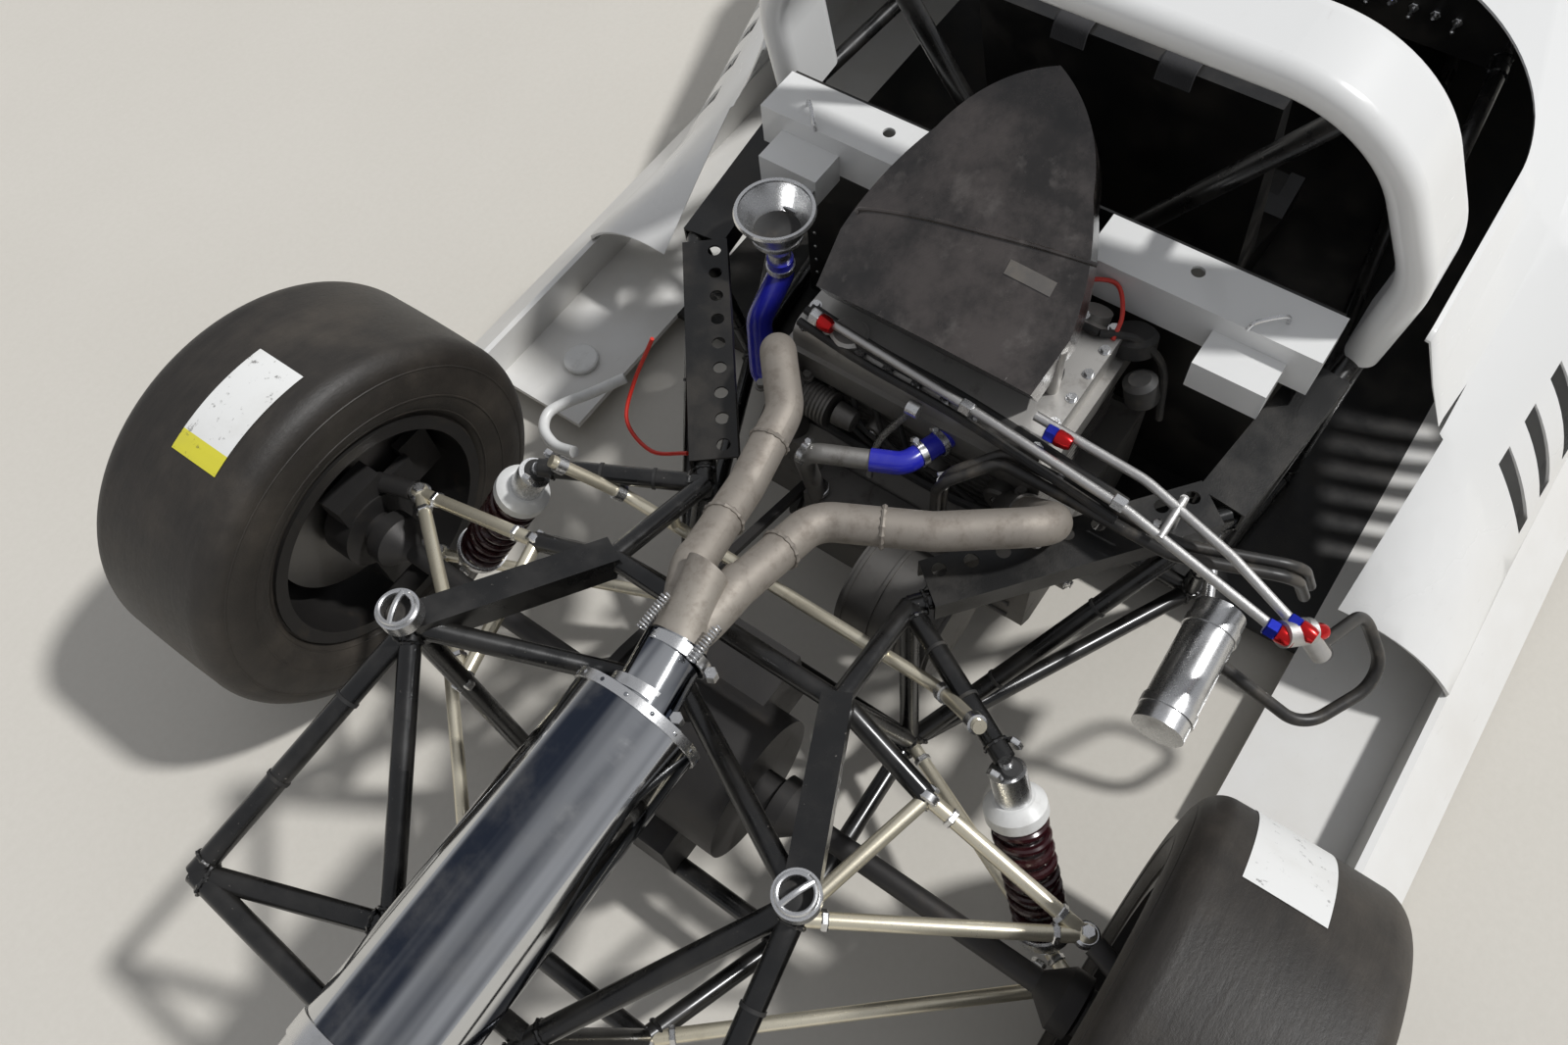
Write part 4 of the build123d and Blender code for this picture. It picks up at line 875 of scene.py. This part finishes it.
def engine_bolts():
    lid = [(0.482, -0.178), (0.684, -0.178), (0.684, 0.163), (0.482, 0.163), (0.482, -0.178)]
    rows = [([(x, y, 0.4775) for x, y in lid], UP)]
    for centre, out, r in ((CLUTCH, -1, 0.070), (GENERATOR, 1, 0.051)):
        rows.append(circle_row(centre, (0, out, 0), r))
    grown("engine_bolts", BOLTS, rows, "chassis", "bright_metal", Spacing=0.042, Radius=0.0058, Height=0.0055)
    flanges = [circle_row(port, (-0.02, 0.0, 1.0), 0.031) for port in PORTS]
    grown("exhaust_studs", BOLTS, flanges, "chassis", "engine_alloy", Spacing=0.064, Radius=0.0062, Height=0.009)


def engine_dressing():
    """Ribs on the side covers, coil caps over the plugs with their wires, and a filler cap."""
    cast, black, wires = Maker(), Maker(), Maker()
    for centre, out, r in ((CLUTCH, -1, 0.078), (GENERATOR, 1, 0.058)):
        for share, lift in ((0.80, 0.004), (0.42, 0.006)):
            edge = [(-0.002, r * share), (lift, r * share - 0.002), (lift, r * share - 0.010),
                    (-0.002, r * share - 0.012)]
            cast.turned(centre, (0, out, 0), edge, 40)
    for i in range(4):
        y = -0.139 + 0.086 * i
        stack = [(0, 0), (0, 0.0165), (0.010, 0.0165), (0.013, 0.0125), (0.026, 0.0115), (0.030, 0.008), (0.030, 0)]
        black.turned((0.583, y, 0.476), UP, stack, 20)
        wires.swept([(0.590, y, 0.500), (0.612, y + 0.006, 0.506), (0.648, y + 0.022, 0.492), (0.662, y + 0.03, 0.484)],
                    0.0030)
    wires.swept([(0.664, -0.16, 0.484), (0.662, -0.04, 0.486), (0.665, 0.06, 0.484), (0.662, 0.15, 0.484)], 0.0052)
    wires.swept([(0.664, -0.16, 0.484), (0.690, -0.20, 0.47), (0.70, -0.24, 0.43), (0.69, -0.26, 0.34)], 0.0052)
    cast.turned((0.50, 0.10, 0.476), UP, [(0, 0), (0, 0.024), (0.008, 0.025), (0.012, 0.021), (0.012, 0)], 22)
    cast.give("engine_cover_ribs", "chassis", "engine_alloy")
    black.give("coil_caps", "chassis", "black_grip")
    wires.give("coil_wires", "chassis", "black_grip")


def engine_back():
    """What shows between the pipes: a ribbed starter, a lever, bosses and studs on the block's rear face."""
    cast, bright, dark = Maker(), Maker(), Maker()
    shell = [(0, 0)]
    for i in range(9):
        shell += [(0.006 * i, 0.025), (0.006 * i + 0.003, 0.025), (0.006 * i + 0.003, 0.0222)]
    cast.turned((0.452, 0.098, 0.372), OUT, [*shell, (0.058, 0.021), (0.062, 0.012), (0.062, 0)], 28)
    cast.turned((0.452, 0.090, 0.372), (0, -1, 0), [(0, 0), (0, 0.017), (0.028, 0.015), (0.030, 0.008), (0.030, 0)], 24)
    for y, z, r in ((-0.150, 0.350, 0.024), (-0.052, 0.330, 0.017), (0.040, 0.352, 0.015), (-0.105, 0.275, 0.020)):
        boss = [(-0.010, 0), (-0.010, r), (0.014, r * 0.94), (0.018, r * 0.8), (0.018, r * 0.45), (0.013, r * 0.40),
                (0.013, 0)]
        cast.turned((0.478, y, z), (-1, 0, 0), boss, 26)
        hex_nut(bright, (0.463, y, z), (1, 0, 0), r * 0.38, 0.008)
    bright.swept([(0.452, -0.024, 0.470), (0.446, -0.004, 0.430), (0.436, 0.016, 0.380), (0.420, 0.018, 0.320)], 0.0050)
    bright.turned((0.452, -0.026, 0.474), OUT, [(-0.008, 0), (-0.008, 0.010), (0.008, 0.010), (0.008, 0)], 18)
    for i in range(5):
        dark.swept([(0.474, 0.150 - 0.035 * i, 0.394), (0.462, 0.140 - 0.04 * i, 0.372 - 0.008 * i),
                    (0.456, 0.110 - 0.045 * i, 0.345), (0.462, 0.080 - 0.05 * i, 0.315)], 0.0038)
    dark.swept([(0.470, 0.19, 0.33), (0.455, 0.12, 0.322), (0.452, 0.02, 0.318), (0.455, -0.08, 0.312),
                (0.462, -0.17, 0.318)], 0.0075)
    for y in (-0.172, -0.130, -0.088, -0.048):
        cast.ring((0.318, y, 0.255), OUT, 0.0718, 0.006, 0.0034, 44)
    for z in (0.125, 0.160, 0.195):
        cast.swept([(0.4295, -0.205, z), (0.4295, -0.10, z)], 0.0040, 8)
    cast.give("starter_and_bosses", "chassis", "engine_alloy")
    bright.give("gear_lever_and_studs", "chassis", "bright_metal")
    dark.give("engine_cables", "chassis", "black_grip")
    side = Maker()
    side.turned((0.700, -0.196, 0.438), (0.3, 0.2, 1), [(0, 0), (0, 0.030), (0.020, 0.031), (0.026, 0.024), (0.026, 0)], 26)
    side.turned((0.655, -0.238, 0.415), (0, 0.3, 1), [(0, 0), (0, 0.022), (0.030, 0.022), (0.036, 0.014), (0.036, 0)], 22)
    side.give("sensor_housings", "chassis", "black_grip")


def exhaust_details():
    """Welds on the pipes, bands on the sleeve, the silencer's rims, rings and rivets, and the joint's springs."""
    bright, steel = Maker(), Maker()
    for mouth in ((0.046, 0.042, 0.022, 0.006), (-0.0104, -0.012, -0.009, -0.003)):
        zs = (SILENCER_Z - 0.0062, SILENCER_Z - 0.0005, SILENCER_Z, SILENCER_Z)
        steel.swept([(x, y, z) for x, y, z in zip((0.13, 0.11, 0.07, 0.04), mouth, zs)], 0.0235, 32)
    steel.give("collector_mouths", "chassis", "exhaust_steel")
    for x, r in ((0.022, 0.0366), (-0.036, 0.0366)):
        bright.ring((x, -0.006, SILENCER_Z), (1, 0.08, 0), r, 0.013, 0.0022)
        hex_nut(bright, (x, -0.052, SILENCER_Z + 0.004), (0, 0, 1), 0.0075, 0.016)
    for x, wide in ((-0.0565, 0.012), (-0.5335, 0.012), (-0.455, 0.024)):
        bright.ring((x, SILENCER_Y, SILENCER_Z), (1, 0, 0), SILENCER_R + 0.0003, wide, 0.0022, 56)
    bright.ring((-0.592, SILENCER_Y, SILENCER_Z), (1, 0, 0), 0.0322, 0.008, 0.0016, 40)
    bright.give("silencer_bands", "chassis", "polished_steel", "bright_metal")
    rows = [circle_row((x, SILENCER_Y, SILENCER_Z), (1, 0, 0), SILENCER_R + 0.0024, 40, True)
            for x in (-0.0565, -0.5335)]
    grown("silencer_rivets", RIVETS, rows, "chassis", "polished_steel", Spacing=0.033, Radius=0.0026, Height=0.0014)
    left = [(0.44, 0.165, 0.4), (0.434, 0.165, 0.5), (0.352, 0.092, 0.503), (0.24, 0.069, 0.505), (0.11, 0.042, 0.545)]
    right = [(0.44, -0.2, 0.4), (0.4, -0.262, 0.498), (0.309, -0.142, 0.503), (0.247, -0.023, 0.505),
             (0.11, -0.012, 0.545)]
    beads = []
    for pipe in (left, right):
        for a, b in ((pipe[2], pipe[3]), (pipe[3], pipe[4])):
            along = tuple((Vector(b) - Vector(a)).normalized())
            beads.append(([between(a, b, 0.42)], along))
    grown("pipe_weld_beads", BEADS, beads, "chassis", "exhaust_steel", Tube=0.0232, Bead=0.0028, Ripples=math.tau * 15)
    springs = []
    for y in (-0.036, 0.030):
        springs.append(([(0.060, y, SILENCER_Z + 0.034)], (-1, 0, 0)))
    grown("joint_springs", COILS, springs, "chassis", "exhaust_steel", "bright_metal",
          Turns=11.0, Radius=0.0050, Length=0.045, Wire=0.0011)


def line_fitting(socket, collar, at, along):
    """A hose end: a hexagon socket and a tapered collar behind it."""
    along = Vector(along).normalized()
    hex_nut(socket, at, along, 0.0112, 0.014)
    start = tuple(Vector(at) + along * 0.007)
    taper = [(0, 0), (0, 0.0100), (0.003, 0.0106), (0.014, 0.0096), (0.019, 0.0076), (0.019, 0)]
    collar.turned(start, along, taper, 20)


def plumbing():
    """Line fittings, hose clamps, canister bands, the funnel's rims and its dark strainer."""
    red, blue, clamps, strainer = Maker(), Maker(), Maker(), Maker()
    line_fitting(clamps, red, (0.484, 0.138, 0.505), (-0.1, -1, 0))
    for at, along in (((0.492, -0.188, 0.504), (0, -1, 0)), ((0.418, -0.500, 0.4805), (0, -1, -0.1)),
                      ((0.436, -0.517, 0.480), (-0.1, -1, 0)), ((0.442, -0.533, 0.466), (0.6, -0.6, -0.3))):
        line_fitting(blue, red, at, along)
    for at in ((0.470, -0.088, 0.505), (0.455, -0.296, 0.5)):
        hex_nut(clamps, at, (0.08, 1, 0), 0.0098, 0.016)
    red.give("line_collars", "chassis", "braided_line", "red_anodise")
    blue.give("line_sockets", "chassis", "braided_line", "blue_anodise")
    bands = [((0.6, 0.285, 0.396), UP, 0.0193), ((0.506, 0.228, 0.262), OUT, 0.0193),
             ((0.430, -0.052, 0.4238), (0.9, -0.4, 0), 0.0154), ((0.458, -0.0635, 0.4216), (0.9, -0.3, 0), 0.0154),
             ((0.380, 0.075, 0.290), UP, 0.0133), ((0.352, 0.070, 0.425), (0, 1, 0), 0.0133),
             ((0.412, -0.096, 0.30), UP, 0.0072), ((0.412, -0.096, 0.42), UP, 0.0072),
             ((0.464, -0.22, 0.4675), OUT, 0.0072), ((0.464, -0.34, 0.4663), OUT, 0.0072),
             ((0.6, 0.285, 0.437), UP, 0.0163)]
    for at, along, r in bands:
        clamps.ring(at, along, r, 0.009, 0.0014)
        aside = Vector(along).orthogonal().normalized()
        hex_nut(clamps, tuple(Vector(at) + aside * (r + 0.004)), aside.cross(Vector(along)), 0.0045, 0.010)
    for t in (0.16, 0.84):
        clamps.ring(between((0.322, -0.455, 0.3), (0.502, -0.449, 0.3), t), (1, 0.03, 0), 0.0333, 0.014, 0.002, 40)
    lip = [(-0.004, 0.0500), (-0.004, 0.0545), (0, 0.0562), (0.004, 0.0545), (0.0035, 0.0500)]
    clamps.turned((0.6, 0.285, 0.505), UP, lip, 48)
    clamps.turned((0.6, 0.285, 0.461), UP, [(-0.003, 0.0325), (-0.003, 0.0355), (0.003, 0.0362), (0.003, 0.0325)], 40)
    clamps.give("hose_clamps", "chassis", "bright_metal")
    cone = [(-0.006, 0.0492), (-0.020, 0.0420), (-0.036, 0.0335), (-0.037, 0.020), (-0.033, 0.008), (-0.032, 0)]
    strainer.turned((0.6, 0.285, 0.505), UP, cone, 40)
    strainer.give("funnel_strainer", "chassis", "black_grip")


def wiring():
    """Looms along the top rails with their ties, the red leads and the pale tube."""
    loom, ties, red, pale = Maker(), Maker(), Maker(), Maker()
    lift = TUBE_R + 0.0045
    for sign in (1, -1):
        run = [TOP["hoop"], TOP["elbow"], TOP["bay"]]
        line = [(p[0], sign * (p[1] - 0.012), p[2] - lift) for p in run]
        loom.swept([line[0], between(line[0], line[1], 0.5), line[1], between(line[1], line[2], 0.5), line[2]], 0.0045)
        for a, b in ((LOW["drive"], TOP["elbow"]), (TOP["bay"], DAMPER[1]), (TAIL["cup"], TAIL["far"]),
                     (LOW["bay"], TOP["elbow"])):
            a, b = (a[0], sign * a[1], a[2]), (b[0], sign * b[1], b[2])
            for t in (0.3, 0.62):
                ties.ring(between(a, b, t), tuple(Vector(b) - Vector(a)), TUBE_R + 0.0002, 0.0045, 0.0012, 20)
    red.swept([(0.390, 0.345, 0.420), (0.358, 0.373, 0.33), (0.317, 0.358, 0.30), (0.298, 0.299, 0.30),
               (0.310, 0.24, 0.33)], 0.0030)
    red.swept([(0.700, -0.085, 0.485), (0.718, -0.113, 0.50), (0.730, -0.147, 0.50), (0.700, -0.172, 0.49),
               (0.668, -0.178, 0.478)], 0.0030)
    pale.swept([(0.450, 0.510, 0.130), (0.400, 0.545, 0.120), (0.362, 0.568, 0.120), (0.332, 0.578, 0.120),
                (0.305, 0.562, 0.120), (0.290, 0.522, 0.130), (0.290, 0.478, 0.150)], 0.0090, 14)
    for shift, sag in ((0.0, 0.0), (0.014, -0.010), (-0.016, -0.006)):
        loom.swept([(0.498 + shift, 0.165, 0.488 + sag), (0.490 + shift, 0.06, 0.484 + sag),
                    (0.484 + shift, -0.06, 0.488 + sag), (0.476 + shift, -0.18, 0.484 + sag),
                    (0.462 + shift, -0.30, 0.484 + sag)], 0.0058)
    loom.give("rail_looms", "chassis", "black_grip")
    ties.give("cable_ties", "chassis", "black_grip")
    red.give("red_leads", "chassis", "hose_rubber", "red_wire")
    pale.give("breather_tube", "chassis", "hose_rubber", "white_plastic")


def small_fittings():
    """Ring handles at the deck cups, pulls on the shelves, knobs and discs."""
    bright, black, white = Maker(), Maker(), Maker()
    for sign in (1, -1):
        cup = (-0.112, 0.256 * sign, 0.584)
        circle = [(cup[0] + 0.0185 * math.cos(a), cup[1] + 0.0185 * math.sin(a), cup[2] + 0.003)
                  for a in (math.tau * i / 16 for i in range(17))]
        bright.swept(circle, 0.0026, 8, 2)
        bar = [(cup[0] + reach, cup[1] + sign * 0.4 * reach, cup[2] + rise)
               for reach, rise in ((-0.0172, 0.003), (-0.006, 0.007), (0.006, 0.007), (0.0172, 0.003))]
        bright.swept(bar, 0.0034, 10)
        bright.swept([(0.735, sign * 0.312, 0.519), (0.737, sign * 0.316, 0.532), (0.752, sign * 0.33, 0.534),
                      (0.766, sign * 0.345, 0.532), (0.768, sign * 0.348, 0.519)], 0.0028)
    knob = [(0, 0), (0, 0.009), (0.010, 0.009), (0.014, 0.0145), (0.024, 0.0145), (0.028, 0.010), (0.028, 0)]
    for at in ((0.147, 0.344, 0.40), (0.147, -0.344, 0.40)):
        black.turned(at, UP, knob, 24)
    for sign in (1, -1):
        well = [(-0.0005, 0), (-0.0005, 0.0168), (0.0008, 0.0168), (0.0014, 0.0155), (0.0014, 0)]
        black.turned((-0.112, 0.256 * sign, 0.5725), UP, well, 28)
    disc = [(0, 0), (0, 0.026), (0.004, 0.030), (0.010, 0.030), (0.012, 0.027), (0.012, 0)]
    white.turned((0.472, 0.643, 0.049), UP, disc, 36)
    bright.give("ring_handles", "chassis", "bright_metal")
    black.give("knobs_and_cup_wells", "chassis", "black_grip")
    white.give("tray_disc", "chassis", "white_panel", "white_plastic")


# Engine cover: a crowned panel on a tilted plane

COVER_AT, COVER_ALONG, COVER_R, COVER_DROP = Vector((0.5, 0, 0.545)), Vector((300, 0, 165)).normalized(), 0.44, 0.42


def cover_point(u, v, lift=0.0006):
    """A point on the cover, u along it and v across it from its centre."""
    up = Vector((-COVER_ALONG.z, 0, COVER_ALONG.x))
    return tuple(COVER_AT + COVER_ALONG * u + Vector((0, v, 0)) + up * (math.sqrt(COVER_R ** 2 - v * v) - COVER_DROP
                                                                        + lift))


def cover_details():
    """The joint across the crown and a taped patch."""
    joint = Maker()
    seam = [(0.100, 0.148), (0.108, 0.138), (0.125, 0.060), (0.137, -0.009), (0.150, -0.075), (0.163, -0.144)]
    joint.swept([cover_point(u, v, 0.0002) for u, v in seam], 0.0030, 8, 6)
    joint.give("cover_joint", "chassis", "dark_cover")
    patch = Maker()
    rows = [[place(*cover_point(u, v, 0.0012)) for v in (-0.116, -0.100, -0.085, -0.070, -0.058)]
            for u in (0.107, 0.113, 0.119, 0.125)]
    patch.strip(rows)
    patch.give("cover_patch", "chassis", "dark_cover", "cover_tape")


# Wheels and tyres

WHEELS = {"rear": (0.0, 0.641, 0.285, 0.168), "front": (2.3, 0.68, 0.265, 0.168)}


def tyre_labels():
    """Blank paper labels stuck across the rear treads, with a yellow band on the left one."""
    x, _, z, _ = WHEELS["rear"]
    for side, sign, near, far, first, last, slot, finish in (
            ("left", 1, 0.577, 0.653, 80.5, 106.5, "tyre_rubber", "label_paper"),
            ("left", 1, 0.577, 0.653, 106.5, 112.0, "tyre_rubber", "label_band"),
            ("right", -1, 0.582, 0.665, 16.0, 59.3, "tyre_rubber", "label_paper")):
        rows = []
        for i in range(19):
            angle = math.radians(first + (last - first) * i / 18)
            spoke = Vector((math.cos(angle), 0, math.sin(angle)))
            row = []
            for k in range(9):
                y = sign * (near + (far - near) * k / 8)
                hit = met(f"tyre_rear_{side}", tuple(Vector((x, y, z)) + spoke * 0.4), tuple(-spoke))
                row.append(place(*hit[0]) + spoke * 0.0007)
            rows.append(row)
        made = Maker()
        made.strip(rows)
        made.give(f"{finish}_{side}", f"wheel_rear_{side}", slot, finish, 80)


def tyre_ribs():
    """Fine raised rings on each tyre's walls, where the mould parted and where the rim line runs."""
    for name, (x, y, z, rim) in WHEELS.items():
        for side, sign in (("left", 1), ("right", -1)):
            ribs = Maker()
            for r in (rim + 0.022, rim + 0.047, z - 0.030):
                for face in (1, -1):
                    out = sign * face
                    hit = met(f"tyre_{name}_{side}", (x + r, sign * y + out * 0.4, z), (0, -out, 0))
                    centre = (x, hit[0][1], z)
                    rib = [(-0.0020, r - 0.0026), (0.0008, r - 0.0010), (0.0008, r + 0.0010), (-0.0020, r + 0.0026)]
                    ribs.turned(centre, (0, out, 0), rib, 96)
            ribs.give(f"tyre_ribs_{name}_{side}", f"wheel_{name}_{side}", "tyre_rubber")


def wheel_hardware():
    """Wheel nuts, rim bolts and a valve on each wheel, facing outwards."""
    for name, (x, y, z, rim) in WHEELS.items():
        for side, sign in (("left", 1), ("right", -1)):
            body, node = f"wheel_{name}_{side}", f"rim_{name}_{side}"
            out = (0, sign, 0)
            rows = []
            for r, count in ((0.044, 5), (rim * 0.86, 20)):
                points, facing = [], []
                for i in range(count):
                    a = math.tau * i / count
                    hit = met(node, (x + r * math.cos(a), sign * 1.2, z + r * math.sin(a)), (0, -sign, 0))
                    if hit:
                        points.append(hit[0])
                        facing.append(out)
                rows += [([p], out) for p in points]
            nuts, bolts = rows[:5], rows[5:]
            hardware = Maker()
            for (centre, *_), _ in nuts:
                hex_nut(hardware, (centre[0], centre[1] + sign * 0.007, centre[2]), out, 0.0115, 0.014)
            for (centre, *_), _ in bolts:
                hex_nut(hardware, (centre[0], centre[1] + sign * 0.002, centre[2]), out, 0.0052, 0.006)
            if bolts:
                centre = bolts[0][0][0]
                stem = [(0, 0), (0, 0.0045), (0.012, 0.0040), (0.012, 0.0048), (0.022, 0.0048), (0.024, 0.003), (0.024, 0)]
                hardware.turned((x + rim * 0.70, centre[1], z), out, stem, 14)
            hardware.give(f"wheel_nuts_{name}_{side}", body, "bright_metal")


# Cockpit

def dash_and_wheel():
    """Blank gauges, and switches with their nuts, on the dash."""
    rims, faces, switches = Maker(), Maker(), Maker()
    for y, z, r in ((0.0, 0.460, 0.038), (-0.115, 0.458, 0.026), (0.115, 0.458, 0.026)):
        bezel = [(-0.001, r), (0.006, r), (0.008, r - 0.002), (0.006, r - 0.005), (0.002, r - 0.006)]
        rims.turned((1.446, y, z), (-1, 0, 0), bezel, 40)
        faces.turned((1.446, y, z), (-1, 0, 0), [(-0.001, 0), (-0.001, r - 0.005), (0.003, r - 0.005), (0.003, 0)], 40)
        for angle in (0.7, 2.1, 3.6):
            dot = (0.0036, (r - 0.010) * math.cos(angle), (r - 0.010) * math.sin(angle))
            rims.turned((1.446 - dot[0], y + dot[1], z + dot[2]), (-1, 0, 0), [(0, 0), (0, 0.0012), (0.0006, 0)], 8)
    for i in range(5):
        y = 0.19 + 0.032 * i
        for sign in (1, -1):
            hex_nut(rims, (1.4445, sign * y, 0.455), (1, 0, 0), 0.0075, 0.004)
            switches.turned((1.443, sign * y, 0.455), (-1, 0, 0.35 if i % 2 else -0.35),
                            [(0, 0), (0, 0.0022), (0.016, 0.0034), (0.018, 0.002), (0.018, 0)], 12)
    rims.give("gauge_rims", "chassis", "bright_metal")
    faces.give("gauge_faces", "chassis", "black_grip")
    switches.give("switches", "chassis", "bright_metal")


def harness():
    """Shoulder and lap belts on the seat, with their buckle and slide adjusters."""
    belts, steel = Maker(), Maker()
    for sign in (1, -1):
        y = 0.075 * sign
        belts.belt([(0.976, y, 0.590), (0.984, y, 0.612), (1.002, y, 0.6155), (1.022, y, 0.606), (1.046, y, 0.552),
                    (1.092, y * 0.95, 0.438), (1.140, y * 0.75, 0.318), (1.186, y * 0.35, 0.215)], OUT, 0.050)
        belts.belt([(1.150, 0.196 * sign, 0.215), (1.185, 0.180 * sign, 0.190), (1.215, 0.110 * sign, 0.190),
                    (1.208, 0.030 * sign, 0.205)], (-0.42, 0, 0.91), 0.046)
        steel.belt([(1.088, y * 0.955, 0.4515), (1.099, y * 0.94, 0.4245)], OUT, 0.066, 0.0080, 2)
    buckle = [(-0.006, 0), (-0.006, 0.030), (0.006, 0.033), (0.012, 0.030), (0.014, 0.022), (0.014, 0)]
    steel.turned((1.203, 0, 0.205), (0.85, 0, 0.52), buckle, 36)
    belts.give("harness_belts", "chassis", "black_panel", "webbing")
    steel.give("harness_buckle", "chassis", "bright_metal")


def floor():
    mesh = bpy.data.meshes.new("floor")
    size = 60.0
    mesh.from_pydata([(-size, -size, 0), (size, -size, 0), (size, size, 0), (-size, size, 0)], [], [(0, 1, 2, 3)])
    made = bpy.data.objects.new("floor", mesh)
    bpy.context.collection.objects.link(made)
    f = Finish("pale_floor", Roughness=0.9)
    speck = f.noise(90.0, 6.0, 0.7)
    cloud = f.noise(1.6, 5.0)
    f.colour(f.mix(speck * 0.5 + cloud * 0.5, (0.56, 0.53, 0.47), (0.70, 0.67, 0.61)))
    mesh.materials.append(f.material)


def lamps():
    """A soft room with a pale backdrop, and one softened sun over the right shoulder."""
    world = bpy.data.worlds.new("studio")
    bpy.context.scene.world = world
    world.use_nodes = True
    nodes, links = world.node_tree.nodes, world.node_tree.links
    room, backdrop = nodes["Background"], nodes.new("ShaderNodeBackground")
    room.inputs["Color"].default_value = (0.93, 0.95, 1.0, 1.0)
    room.inputs["Strength"].default_value = 0.40
    backdrop.inputs["Color"].default_value = (0.80, 0.78, 0.74, 1.0)
    path, pick = nodes.new("ShaderNodeLightPath"), nodes.new("ShaderNodeMixShader")
    links.new(path.outputs["Is Camera Ray"], pick.inputs["Fac"])
    links.new(room.outputs[0], pick.inputs[1])
    links.new(backdrop.outputs[0], pick.inputs[2])
    links.new(pick.outputs[0], nodes["World Output"].inputs["Surface"])
    key = bpy.data.lights.new("key", "SUN")
    key.energy, key.angle = 2.55, math.radians(4)
    sun = bpy.data.objects.new("key", key)
    sun.rotation_euler = (math.radians(28), math.radians(26), 0)
    bpy.context.collection.objects.link(sun)


frame_welds()
firewall_rivets()
body_fasteners()
body_skins()
suspension_ends()
dampers()
roll_bar_fittings()
engine_fins()
engine_bolts()
engine_dressing()
engine_back()
exhaust_details()
plumbing()
wiring()
small_fittings()
cover_details()
tyre_labels()
tyre_ribs()
wheel_hardware()
dash_and_wheel()
harness()
floor()
lamps()
